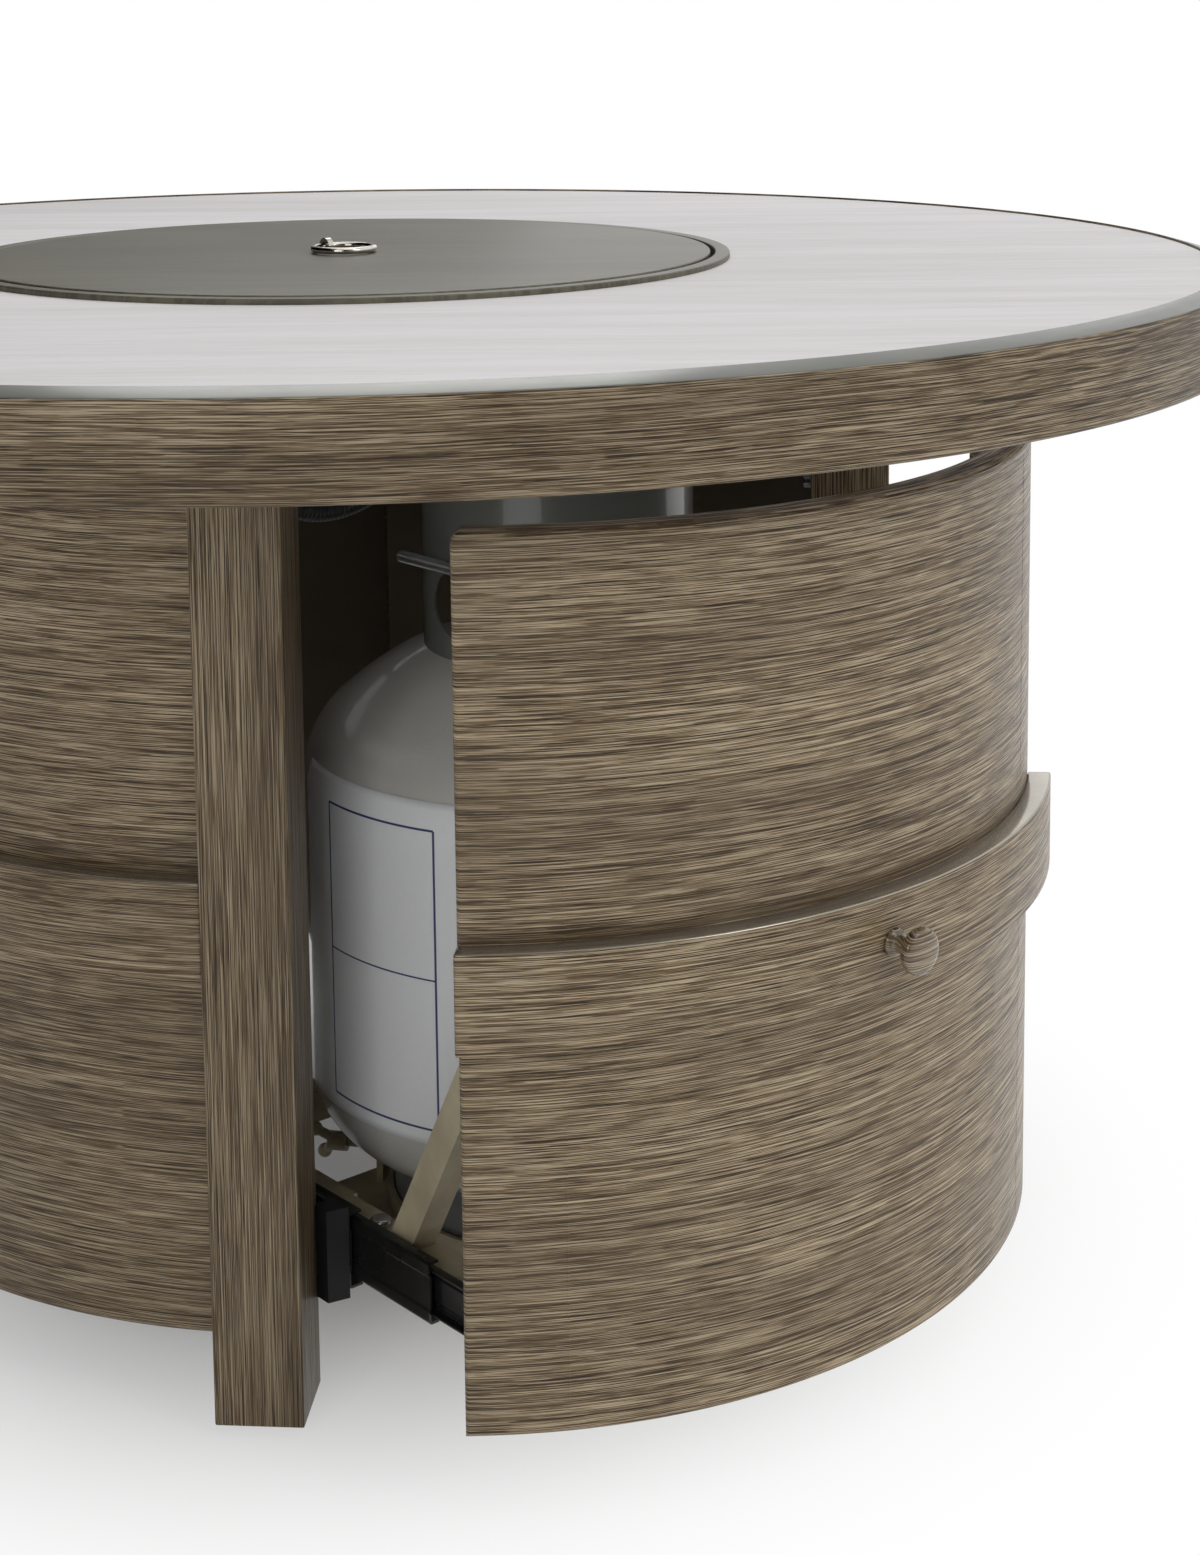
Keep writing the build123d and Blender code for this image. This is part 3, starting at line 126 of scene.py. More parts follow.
def new_piece(name, points, faces, finish, body, stands_for=(), smooth=True, weld=True):
    """Mesh object from points and faces, welded, facing outwards, riding on a body."""
    mesh = bpy.data.meshes.new(name)
    corners = np.asarray(points).reshape(-1, 3).tolist()
    mesh.from_pydata(corners, [], [list(map(int, face)) for face in faces])
    if weld:
        shape = bmesh.new()
        shape.from_mesh(mesh)
        bmesh.ops.remove_doubles(shape, verts=shape.verts, dist=1e-6)
        bmesh.ops.recalc_face_normals(shape, faces=shape.faces)
        shape.to_mesh(mesh)
        shape.free()
    mesh.polygons.foreach_set("use_smooth", np.full(len(mesh.polygons), smooth))
    mesh.update()
    finishes = finish if isinstance(finish, (list, tuple)) else [finish]
    for one in finishes:
        mesh.materials.append(one)
    piece = bpy.data.objects.new(name, mesh)
    bpy.context.scene.collection.objects.link(piece)
    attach(piece, body)
    if stands_for:
        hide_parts(*stands_for)
    return piece


def face_normals(piece):
    """Normals of a piece's faces, one row each."""
    normals = np.empty(len(piece.data.polygons) * 3)
    piece.data.polygons.foreach_get("normal", normals)
    return normals.reshape(-1, 3)


def second_finish(piece, chosen):
    """Give the piece's second finish to the chosen faces."""
    piece.data.polygons.foreach_set("material_index", chosen.astype(np.int32))


def joined(parts):
    """Several sets of points and faces as one set, numbered on from each to the next."""
    points, faces, start = [], [], 0
    for part_points, part_faces in parts:
        part_points = np.asarray(part_points).reshape(-1, 3)
        points.append(part_points)
        faces += [[int(k) + start for k in face] for face in part_faces]
        start += len(part_points)
    return np.concatenate(points), faces


def softened(corners, radii, steps):
    """Closed outline with each corner replaced by an arc that touches its two sides."""
    corners = np.asarray(corners, float)
    radii = np.broadcast_to(radii, len(corners))
    outline = []
    neighbours = zip(np.roll(corners, 1, 0), corners, np.roll(corners, -1, 0), radii)
    for before, here, after, radius in neighbours:
        if radius <= 0:
            outline.append(here[None])
            continue
        u = (before - here) / np.linalg.norm(before - here)
        v = (after - here) / np.linalg.norm(after - here)
        half = np.arccos(np.clip(u @ v, -1, 1)) / 2
        middle = (u + v) / np.linalg.norm(u + v)
        centre = here + middle * radius / np.sin(half)
        first = here + u * radius / np.tan(half) - centre
        last = here + v * radius / np.tan(half) - centre
        turn = np.arccos(np.clip(first @ last / radius ** 2, -1, 1))
        t = np.linspace(0, 1, steps + 1)[:, None]
        arc = (np.sin((1 - t) * turn) * first + np.sin(t * turn) * last) / np.sin(turn)
        outline.append(centre + arc)
    return np.concatenate(outline)


def turned(outline, steps, centre=(0, 0)):
    """Outline of radius and height carried round an upright axis."""
    angle = np.linspace(0, 2 * np.pi, steps, endpoint=False)[:, None]
    r, z = np.asarray(outline)[:, 0], np.asarray(outline)[:, 1]
    x = centre[0] + r * np.cos(angle)
    y = centre[1] + r * np.sin(angle)
    points = np.stack([x, y, np.broadcast_to(z, x.shape)], axis=-1)
    return points, grid_quads(steps, len(r), True, True)


def turned_along(outline, base, axis, steps=64):
    """Outline of radius and distance carried round any axis from a base point."""
    axis = np.asarray(axis, float) / np.linalg.norm(axis)
    side = np.cross(axis, (0, 0, 1) if abs(axis[2]) < 0.9 else (1, 0, 0))
    side /= np.linalg.norm(side)
    other = np.cross(axis, side)
    angle = np.linspace(0, 2 * np.pi, steps, endpoint=False)[:, None, None]
    r, d = (np.asarray(outline)[None, :, k, None] for k in (0, 1))
    points = np.asarray(base) + d * axis + r * (np.cos(angle) * side + np.sin(angle) * other)
    return points, grid_quads(steps, points.shape[1], True, True)


def end_angle(radius, gap):
    """Half the opening angle between two legs at a radius, a gap away from their sides."""
    return np.arccos((LEG_WIDTH / 2 + gap) / radius) - np.pi / 4


def bent(radius, angle, z, heading, out):
    """Points at a radius and angle, turned to a heading and moved out along -Y."""
    turn = angle + math.radians(heading)
    return np.stack([radius * np.cos(turn), radius * np.sin(turn) - out, z], axis=-1)


def folded_pan(heading, gap, out, fold):
    """Sheet curved round the drum: flat middle, arcs at the folds, flanges turned in on all edges.

    One parameter runs round the drum and one up it. Each has an inset from the edge and a depth below the
    surface, and the deeper of the two depths is taken. The top corners are cut back along an arc.
    """
    corner = PANEL_CORNER
    bend = np.linspace(0, np.pi / 2, 6)
    inset = np.concatenate([np.zeros(3), (fold * (1 - np.sin(bend[::-1])))[:-1]])
    flange = np.linspace(FLANGE_DEPTH, fold, 4)[:-1]
    deep = np.concatenate([flange, (fold * (1 - np.cos(bend[::-1])))[:-1]])
    flat = np.linspace(-1, 1, 121)
    a_inset = np.concatenate([inset, np.zeros(len(flat)), inset[::-1]])[:, None]
    a_deep = np.concatenate([deep, np.zeros(len(flat)), deep[::-1]])[:, None]
    share = np.concatenate([-np.ones(len(inset)), flat, np.ones(len(inset))])[:, None]
    is_flat = np.concatenate([np.zeros(len(inset)), np.ones(len(flat)), np.zeros(len(inset))])[:, None] > 0
    from_edge = np.concatenate([inset, np.linspace(fold, corner * 1.2, 4)])
    low = PANEL_LOW + from_edge
    high = PANEL_HIGH - from_edge[::-1]
    z = np.concatenate([low, np.linspace(low[-1], high[0], 34)[1:-1], high])[None, :]
    b_deep = np.concatenate([deep, np.zeros(z.shape[1] - 2 * len(deep)), deep[::-1]])[None, :]
    r = DRUM_RADIUS - np.maximum(a_deep, b_deep)
    rise = np.clip(z - (PANEL_HIGH - corner), 0, corner)
    extra = corner - np.sqrt(corner ** 2 - rise ** 2)
    flat_end = end_angle(DRUM_RADIUS, gap) - (fold + extra) / DRUM_RADIUS
    fold_end = end_angle(r, gap) - extra / r
    bent_end = flat_end + (fold_end - flat_end) * (1 - a_inset / fold)
    angle = share * np.where(is_flat, flat_end, bent_end)
    points = bent(r, angle, np.broadcast_to(z, r.shape), heading, out)
    return points, grid_quads(points.shape[0], points.shape[1])


def curved_slab(heading, gap, out, r0, r1, z0, z1, edge, steps=90):
    """Solid arc of rectangular section with all its edges rounded to one radius.

    The section is an inner rectangle swollen by a circle, which shrinks along a quarter turn at both ends.
    """
    theta = np.linspace(0, 2 * np.pi, 24, endpoint=False) + np.pi / 24
    core = np.stack([np.where(np.cos(theta) > 0, r1 - edge, r0 + edge),
                     np.where(np.sin(theta) > 0, z1 - edge, z0 + edge)], axis=-1)
    ball = np.stack([np.cos(theta), np.sin(theta)], axis=-1)
    bend = np.linspace(0, np.pi / 2, 5)
    swell = np.concatenate([np.sin(bend), np.ones(steps), np.sin(bend[::-1])]) * edge
    ease = np.concatenate([1 - np.cos(bend), np.ones(steps), 1 - np.cos(bend[::-1])]) * edge
    share = np.concatenate([-np.ones(5), np.linspace(-1, 1, steps), np.ones(5)])
    section = core[None] + swell[:, None, None] * ball[None]
    r = section[..., 0]
    half = end_angle(r, gap) - ease[:, None] / r
    points = bent(r, share[:, None] * half, section[..., 1], heading, out)
    return points, capped(points.shape[0], points.shape[1])


def soft_bar(x0, x1, y0, y1, z0, z1, edge):
    """Upright bar of rectangular plan with all its edges rounded to one radius.

    The plan is an inner rectangle swollen by a circle, which shrinks along a quarter turn at both ends.
    """
    theta = np.linspace(0, 2 * np.pi, 32, endpoint=False) + np.pi / 32
    bend = np.linspace(0, np.pi / 2, 5)
    swell = np.concatenate([np.sin(bend), np.sin(bend[::-1])])[:, None] * edge
    z = np.concatenate([z0 + edge * (1 - np.cos(bend)), z1 - edge * (1 - np.cos(bend[::-1]))])
    x = np.where(np.cos(theta) > 0, x1 - edge, x0 + edge) + swell * np.cos(theta)
    y = np.where(np.sin(theta) > 0, y1 - edge, y0 + edge) + swell * np.sin(theta)
    points = np.stack([x, y, np.broadcast_to(z[:, None], x.shape)], axis=-1)
    return points, capped(len(z), len(theta))


def channel(web, lips, y0, y1, z0, z1):
    """Rolled channel along Y: one outline of web, two lips and a pressed rib, carried straight."""
    gauge, pressed = 1.5 * MM, 0.9 * MM
    way = 1 if lips > web else -1
    depth, half, middle = abs(lips - web), (z1 - z0) / 2, (z0 + z1) / 2
    rib_foot, rib_top = half * 0.58, half * 0.5
    corners = np.array([
        (0, -half), (depth, -half), (depth, gauge - half), (gauge, gauge - half),
        (gauge, -rib_foot), (gauge + pressed, -rib_top), (gauge + pressed, rib_top), (gauge, rib_foot),
        (gauge, half - gauge), (depth, half - gauge), (depth, half), (0, half),
        (0, rib_foot), (pressed, rib_top), (pressed, -rib_top), (0, -rib_foot),
    ])
    outer, lip, inner, rib = 2.4 * MM, 0.5 * MM, 0.9 * MM, 0.4 * MM
    rounds = [outer, lip, lip, inner] + [rib] * 4 + [inner, lip, lip, outer] + [rib] * 4
    section = softened(corners, rounds, 4)
    count = len(section)
    x = np.tile(web + way * section[:, 0], 2)
    y = np.repeat([y0, y1], count)
    z = np.tile(middle + section[:, 1], 2)
    return np.stack([x, y, z], axis=-1), capped(2, count)


def spun(points, degrees):
    """Points turned about the table's axis."""
    c, s = math.cos(math.radians(degrees)), math.sin(math.radians(degrees))
    points = np.asarray(points)
    x, y = points[..., 0], points[..., 1]
    return np.stack([c * x - s * y, s * x + c * y, points[..., 2]], axis=-1)


# Shader maths

class Wire:
    """A shader socket in Python arithmetic: each operator adds a Math node."""

    def __init__(self, finish, socket):
        self.finish = finish
        self.socket = socket

    def maths(self, operation, *values):
        return self.finish.node("ShaderNodeMath", {"operation": operation}, dict(enumerate(values)))

    def __add__(self, other):
        return self.maths("ADD", self, other)

    def __radd__(self, other):
        return self.maths("ADD", other, self)

    def __sub__(self, other):
        return self.maths("SUBTRACT", self, other)

    def __rsub__(self, other):
        return self.maths("SUBTRACT", other, self)

    def __mul__(self, other):
        return self.maths("MULTIPLY", self, other)

    def __rmul__(self, other):
        return self.maths("MULTIPLY", other, self)

    def __abs__(self):
        return self.maths("ABSOLUTE", self)

    def __gt__(self, other):
        return self.maths("GREATER_THAN", self, other)

    def __lt__(self, other):
        return self.maths("LESS_THAN", self, other)

    def clipped(self):
        """Kept between 0 and 1."""
        return self.finish.node("ShaderNodeClamp", {}, {"Value": self})

    def between(self, low, high):
        """0 below low, 1 above high, smooth between."""
        return self.finish.node("ShaderNodeMapRange", {"interpolation_type": "SMOOTHSTEP"},
                                {"Value": self, "From Min": low, "From Max": high})


class Finish:
    """A node tree of a material or of the surround, made from expressions on wires."""

    def __init__(self, owner):
        self.owner = owner
        owner.use_nodes = True
        self.tree = owner.node_tree
        self.tree.nodes.clear()

    def node(self, kind, settings, sockets, out=0):
        """A node of a type, its settings set first, then the values or links of its sockets."""
        node = self.tree.nodes.new(kind)
        for key, value in settings.items():
            setattr(node, key, value)
        for key, value in sockets.items():
            socket = node.inputs[key]
            if isinstance(value, Wire):
                self.tree.links.new(value.socket, socket)
            elif socket.type == "RGBA":
                socket.default_value = (*value, 1)
            else:
                socket.default_value = value
        return Wire(self, node.outputs[out] if len(node.outputs) else None)

    def place(self, scale=(1, 1, 1), turn=0.0):
        """Object coordinates, turned about the upright axis, then scaled."""
        coords = self.node("ShaderNodeTexCoord", {}, {}, "Object")
        if turn:
            coords = self.node("ShaderNodeVectorRotate", {"rotation_type": "Z_AXIS"},
                               {"Vector": coords, "Angle": turn})
        return self.node("ShaderNodeMapping", {"vector_type": "POINT"}, {"Vector": coords, "Scale": scale})

    def noise(self, where, detail=3.0, roughness=0.55):
        """Fractal noise with cells one unit wide in the coordinates it is given."""
        return self.node("ShaderNodeTexNoise", {}, {
            "Vector": where, "Scale": 1.0, "Detail": detail, "Roughness": roughness})

    def mixed(self, share, first, second):
        """Colour between two colours."""
        return self.node("ShaderNodeMix", {"data_type": "RGBA"}, {0: share, 6: first, 7: second}, 2)

    def from_axis(self, centre_y=0.0):
        """Distance from the upright axis at centre_y."""
        level = self.node("ShaderNodeVectorMath", {"operation": "MULTIPLY_ADD"}, {
            0: self.place(), 1: (1, 1, 0), 2: (0, -centre_y, 0)})
        return self.node("ShaderNodeVectorMath", {"operation": "LENGTH"}, {0: level}, "Value")

    def shader(self, sockets, bump=None, bump_size=0.0):
        """Main shader with its sockets, and the height and size of its bump."""
        if bump is not None:
            sockets["Normal"] = self.node("ShaderNodeBump", {}, {"Distance": bump_size, "Height": bump})
        return self.node("ShaderNodeBsdfPrincipled", {}, sockets)

    def finished(self, shader, kind="Material"):
        """Shader put out as the surface."""
        self.node("ShaderNodeOutput" + kind, {}, {"Surface": shader})
        return self.owner


def new_finish(name):
    """Empty finish on a new material."""
    return Finish(bpy.data.materials.new(name))


FINISHES = {}


def finish_of(maker, name, *values, **settings):
    """Material made once and kept under its name."""
    if name not in FINISHES:
        FINISHES[name] = maker(name, *values, **settings)
    return FINISHES[name]


def toned(colour, share):
    """Colour made lighter or darker by a share."""
    return [value * share for value in colour]


def grain_finish(name, upright=False, centre_y=0.0, depth=1.0, gloss=0.28, glaze=0.25, shade_radius=0.0):
    """Printed wood grain: thin pen strokes along one direction, darker in broad clouds.

    Level strokes keep to one height and one distance from the axis at centre_y, so they run round the drum.
    Painted shade darkens the grain in the corner above the raised bands, where shade falls. Inside
    shade_radius the sheet is plain.
    """
    tones = bpy.context.scene.fire_pit_colours
    f = new_finish(name)
    along, across, wander = (13.0, 2900.0, 0.001) if upright else (22.0, 2500.0, 0.004)
    wave = (f.noise(f.place((4, 4, 4)), 2.0) - 0.5) * wander
    aside = {0: wave, 1: wave} if upright else {2: wave + f.from_axis(centre_y) * 0.3}
    where = f.node("ShaderNodeVectorMath", {"operation": "ADD"}, {
        0: f.place(), 1: f.node("ShaderNodeCombineXYZ", {}, aside)})

    def layer(stroke_length, stroke_width, shift, detail=0.0):
        """Noise drawn out along the grain, lengths and widths given as shares of the pen strokes."""
        a, c = along / stroke_length, across / stroke_width
        scale = (c, c, a) if upright else (a, a, c)
        drawn = f.node("ShaderNodeVectorMath", {"operation": "MULTIPLY_ADD"}, {
            0: where, 1: scale, 2: shift})
        return f.noise(drawn, detail, 0.5)

    pen = layer(1.0, 1.0, (0.3, 0.9, 0.1))
    nib = layer(0.6, 1.3, (5.2, 4.1, 7.7))
    fleck = layer(0.3, 0.8, (1.6, 8.2, 3.3))
    thread = layer(8.0, 1.2, (3.1, 1.7, 0.4))
    brush = layer(3.0, 6.0, (0.7, 5.3, 2.2), 2.0)
    cloud = layer(7.0, 110.0, (9.1, 2.3, 6.6), 2.0)
    ink = pen.between(0.465, 0.535) * 0.36 + nib.between(0.455, 0.545) * 0.21
    ink = ink + fleck.between(0.46, 0.54) * 0.14 + thread.between(0.46, 0.54) * 0.25
    ink = ink + brush.between(0.34, 0.66) * 0.04
    ground = f.mixed(ink.between(0.15, 0.52), tones.grain_dark, tones.grain_mid)
    ground = f.mixed(ink.between(0.5, 0.85), ground, tones.grain_light)
    ground = f.mixed(cloud.between(0.42, 0.74) * 0.38, ground, tones.grain_shade)
    if not upright:
        height = f.node("ShaderNodeSeparateXYZ", {}, {0: f.place()}, "Z")
        # Painted shade: just above a band the grain turns towards the shade colour, in the corner where
        # shade falls.
        corner = (height > BAND_HIGH) * (1 - height.between(BAND_HIGH, BAND_HIGH + PAINTED_SHADE_RISE))
        ground = f.mixed(corner * glaze, ground, tones.grain_shade)
    ground = f.node("ShaderNodeVectorMath", {"operation": "SCALE"}, {0: ground, "Scale": depth})
    if shade_radius:
        outside = f.from_axis().between(shade_radius - 0.5 * MM, shade_radius + 0.5 * MM)
        ground = f.mixed(outside, tones.inside, ground)
    return f.finished(f.shader({
        "Base Color": ground, "Roughness": 0.5 - ink * 0.1, "Coat Weight": gloss,
        "Coat Roughness": 0.3 - gloss * 0.2, "Specular IOR Level": 0.15}, pen, 0.3 * MM))


def inside_finish(name):
    """Plain dark coating on the unseen side of the sheet, slightly uneven."""
    tones = bpy.context.scene.fire_pit_colours
    f = new_finish(name)
    faint = f.noise(f.place((9, 9, 14)))
    colour = f.mixed(faint.between(0.35, 0.7), toned(tones.inside, 0.85), tones.inside)
    return f.finished(f.shader({
        "Base Color": colour, "Roughness": 0.62 + faint * 0.15, "Specular IOR Level": 0.2}))


def bevel_finish(name, tone, roughness, metallic):
    """Smooth bare edge of the printed metal, with faint brushed lines."""
    f = new_finish(name)
    veil = f.noise(f.place((18, 18, 18)))
    lines = f.noise(f.place((40, 40, 900)), 2.0)
    colour = f.mixed(veil.between(0.3, 0.7), tone, toned(tone, 1.25))
    return f.finished(f.shader({
        "Base Color": colour, "Roughness": roughness + lines * 0.12, "Metallic": metallic,
        "Coat Weight": 0.3, "Coat Roughness": 0.15}))


# Direction of the brush strokes on the tile and the lid
BRUSHED = math.radians(40.2)


def tile_finish(name):
    """Pale tile with soft streaks along one direction and fine specks."""
    tones = bpy.context.scene.fire_pit_colours
    f = new_finish(name)
    bands = f.noise(f.place((2.2, 26, 1), BRUSHED), 5.0, 0.6)
    threads = f.noise(f.place((14, 240, 1), BRUSHED), 4.0, 0.65)
    speck = f.noise(f.place((900, 900, 900)), 2.0)
    share = (bands.between(0.35, 0.7) * 0.6 + threads.between(0.35, 0.7) * 0.4).clipped()
    colour = f.mixed(share, tones.tile, tones.tile_streak)
    colour = f.mixed(speck.between(0.6, 0.75) * 0.12, colour, toned(tones.tile_streak, 0.8))
    return f.finished(f.shader({
        "Base Color": colour, "Roughness": 0.5 + speck * 0.15, "Specular IOR Level": 0.2},
        threads + speck * 0.4, 0.1 * MM))


def lid_finish(name):
    """Brushed grey-green metal paint with long fine strokes."""
    tones = bpy.context.scene.fire_pit_colours
    f = new_finish(name)
    strokes = f.noise(f.place((9, 420, 30), BRUSHED), 4.0, 0.65)
    cloud = f.noise(f.place((3, 9, 3), BRUSHED))
    share = (strokes.between(0.42, 0.6) * 0.65 + cloud.between(0.36, 0.64) * 0.35).clipped()
    colour = f.mixed(share, toned(tones.lid, 0.68), toned(tones.lid, 1.32))
    return f.finished(f.shader({
        "Base Color": colour, "Roughness": 0.3 + strokes * 0.14, "Specular IOR Level": 0.3},
        strokes, 0.1 * MM))


def metal_finish(name, colour, roughness, metallic):
    """Metal or painted steel with uneven gloss and slight changes of tone."""
    f = new_finish(name)
    cloud = f.noise(f.place((24, 24, 24)), 4.0)
    fleck = f.noise(f.place((720, 720, 720)), 2.0)
    tone = f.mixed(cloud.between(0.3, 0.7), toned(colour, 0.75), toned(colour, 1.1))
    return f.finished(f.shader({
        "Base Color": tone, "Roughness": roughness * (0.75 + cloud * 0.5), "Metallic": metallic},
        fleck, 0.06 * MM))


def enamel_finish(name, colour):
    """Gloss cylinder enamel, greyer in places and scuffed, with a fine orange peel."""
    f = new_finish(name)
    cloud = f.noise(f.place((9, 9, 14)), 4.0)
    scuff = f.noise(f.place((60, 60, 25)), 5.0, 0.7)
    peel = f.noise(f.place((420, 420, 420)), 2.0)
    tone = f.mixed(cloud.between(0.35, 0.7) * 0.5, colour, toned(colour, 0.86))
    tone = f.mixed(scuff.between(0.68, 0.76) * 0.2, tone, (0.42, 0.36, 0.28))
    return f.finished(f.shader({
        "Base Color": tone, "Roughness": 0.24 + scuff * 0.16, "Coat Weight": 0.7, "Coat Roughness": 0.04},
        peel, 0.12 * MM))


def label_finish(name):
    """Blank white paper with thin dark frames, from the sheet's own UV map."""
    f = new_finish(name)
    uv = f.node("ShaderNodeUVMap", {"uv_map": "sheet"}, {})
    u = f.node("ShaderNodeSeparateXYZ", {}, {0: uv}, "X")
    v = f.node("ShaderNodeSeparateXYZ", {}, {0: uv}, "Y")
    fibre = f.noise(f.place((300, 300, 300)))

    def line(value, at, width):
        """1 on a line of a width, 0 beside it."""
        return 1 - abs(value - at).between(width * 0.6, width)

    ink = 0.0
    low, middle, high = 0.045, 0.487, 0.922
    for left, right in ((0.1, 0.323), (0.39, 0.62)):
        sides = (line(u, left, 0.0022) + line(u, right, 0.0022)) * (v > low) * (v < high)
        rows = line(v, low, 0.004) + line(v, middle, 0.003) + line(v, high, 0.004)
        ink = sides + rows * (u > left) * (u < right) + ink
    paper = f.mixed(fibre.between(0.3, 0.7), (0.92, 0.94, 0.96), (0.94, 0.96, 0.98))
    colour = f.mixed(ink.clipped(), paper, (0.03, 0.045, 0.16))
    return f.finished(f.shader({
        "Base Color": colour, "Roughness": 0.38 + fibre * 0.15, "Specular IOR Level": 0.4}))


def glass_finish(name):
    """Tumbled fire glass: dark, glossy, lighter on some shards."""
    f = new_finish(name)
    tint = f.noise(f.place((120, 120, 120)), 2.0)
    colour = f.mixed(tint.between(0.35, 0.65), (0.03, 0.045, 0.05), (0.22, 0.27, 0.29))
    return f.finished(f.shader({
        "Base Color": colour, "Roughness": 0.08 + tint * 0.1, "Specular IOR Level": 0.7,
        "Coat Weight": 0.4}))


def plastic_finish(name, colour, roughness):
    """Moulded plastic with a fine leather texture."""
    f = new_finish(name)
    pebble = f.noise(f.place((700, 700, 700)), 2.0)
    worn = f.noise(f.place((40, 40, 40)), 4.0)
    tone = f.mixed(worn.between(0.4, 0.75), colour, [value * 1.5 + 0.004 for value in colour])
    return f.finished(f.shader({
        "Base Color": tone, "Roughness": roughness + worn * 0.12}, pebble, 0.08 * MM))


def grain_across():
    """Grain that runs level round the drum."""
    return finish_of(grain_finish, "grain_level")


def grain_rim():
    """Grain round the rim, printed darker."""
    return finish_of(grain_finish, "grain_rim", depth=0.76, gloss=0.25)


def grain_drawer():
    """Grain that runs level round the drawer front."""
    # The drawer's grain carries a stronger painted shade in the corner above its band.
    return finish_of(grain_finish, "grain_drawer", centre_y=-DRAWER_OUT, gloss=0.35, glaze=0.75)


def grain_upright():
    """Grain that runs up the legs."""
    return finish_of(grain_finish, "grain_upright", upright=True, depth=0.88)


def inside_coating():
    """Coating on the sides of the sheet and legs that face the axis."""
    return finish_of(inside_finish, "inside_coating")


def black_plastic():
    """Moulded black plastic of the glides, the handwheel and the knobs."""
    return finish_of(plastic_finish, "black_plastic", (0.018, 0.018, 0.018), 0.4)


def steel(name):
    """The plain metals by name: colour, roughness, how metallic."""
    values = {
        "tan_steel": ((0.6, 0.525, 0.36), 0.42, 0.0),
        "black_steel": ((0.034, 0.034, 0.034), 0.28, 0.5),
        "frame_black": ((0.018, 0.017, 0.016), 0.6, 0.0),
        "nickel": ((0.66, 0.63, 0.57), 0.16, 1.0),
        "dark_chrome": ((0.22, 0.22, 0.23), 0.22, 1.0),
        "bright_chrome": ((0.7, 0.7, 0.7), 0.14, 1.0),
        "stainless": ((0.55, 0.55, 0.54), 0.3, 1.0),
        "zinc": ((0.58, 0.6, 0.61), 0.34, 0.85),
        "brass": ((0.62, 0.46, 0.2), 0.28, 1.0),
        "foot_grey": ((0.16, 0.16, 0.165), 0.45, 0.0),
        "hose_steel": ((0.1, 0.1, 0.1), 0.32, 0.7),
        "control_plate": ((0.12, 0.1, 0.075), 0.4, 0.2),
    }
    return finish_of(metal_finish, name, *values[name])


def dress(nodes, material):
    """Give fixed-frame nodes a finish without touching their meshes."""
    for node in nodes:
        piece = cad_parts[node]
        for slot in piece.material_slots:
            slot.material = material


# Settings a user may change

class FirePitSizes(bpy.types.PropertyGroup):
    """Sizes of the dressing, in metres."""
    edge: FloatProperty(
        name="Edge rounding", description="Rounding of the legs' edges",
        default=1.2 * MM, min=0.2 * MM, max=10 * MM, unit="LENGTH")
    fold: FloatProperty(
        name="Panel fold", description="Bend radius at the panels' folded edges",
        default=2.6 * MM, min=0.5 * MM, max=8 * MM, unit="LENGTH")
    band_edge: FloatProperty(
        name="Band rounding", description="Rounding of the raised bands' edges",
        default=1.5 * MM, min=0.5 * MM, max=6 * MM, unit="LENGTH")
    hose_ribs: IntProperty(
        name="Hose ribs", description="Number of ribs along the corrugated gas line",
        default=104, min=20, max=200)
    shards: IntProperty(
        name="Glass shards", description="Pieces of fire glass in the burner bowl",
        default=1500, min=100, max=4000)


class FirePitColours(bpy.types.PropertyGroup):
    """Colours of the main finishes."""
    grain_light: FloatVectorProperty(
        name="Grain light", description="Light strokes of the wood grain",
        size=3, subtype="COLOR", min=0, max=1, default=(0.56, 0.455, 0.305))
    grain_mid: FloatVectorProperty(
        name="Grain middle", description="Middle tone of the wood grain",
        size=3, subtype="COLOR", min=0, max=1, default=(0.215, 0.147, 0.077))
    # Grain shade is also the colour of the painted shade in the corner above the bands.
    grain_shade: FloatVectorProperty(
        name="Grain shade", description="Broad dark streaks of the wood grain",
        size=3, subtype="COLOR", min=0, max=1, default=(0.085, 0.056, 0.03))
    grain_dark: FloatVectorProperty(
        name="Grain dark", description="Dark strokes of the wood grain",
        size=3, subtype="COLOR", min=0, max=1, default=(0.032, 0.018, 0.008))
    inside: FloatVectorProperty(
        name="Inside", description="Dark coating inside the drum",
        size=3, subtype="COLOR", min=0, max=1, default=(0.24, 0.205, 0.145))
    rim_top: FloatVectorProperty(
        name="Rim bevel", description="Grey-green bevel round the tile",
        size=3, subtype="COLOR", min=0, max=1, default=(0.11, 0.112, 0.095))
    belt_edge: FloatVectorProperty(
        name="Band edge", description="Bare metal along the bands' upward edge",
        size=3, subtype="COLOR", min=0, max=1, default=(0.34, 0.305, 0.25))
    tile: FloatVectorProperty(
        name="Tile", description="Ground tone of the tile",
        size=3, subtype="COLOR", min=0, max=1, default=(0.82, 0.80, 0.805))
    tile_streak: FloatVectorProperty(
        name="Tile streaks", description="Streaks of the tile",
        size=3, subtype="COLOR", min=0, max=1, default=(0.70, 0.665, 0.665))
    lid: FloatVectorProperty(
        name="Lid", description="Brushed lid and trim ring",
        size=3, subtype="COLOR", min=0, max=1, default=(0.118, 0.11, 0.078))
    tank: FloatVectorProperty(
        name="Cylinder", description="Gas cylinder enamel",
        size=3, subtype="COLOR", min=0, max=1, default=(0.63, 0.622, 0.58))


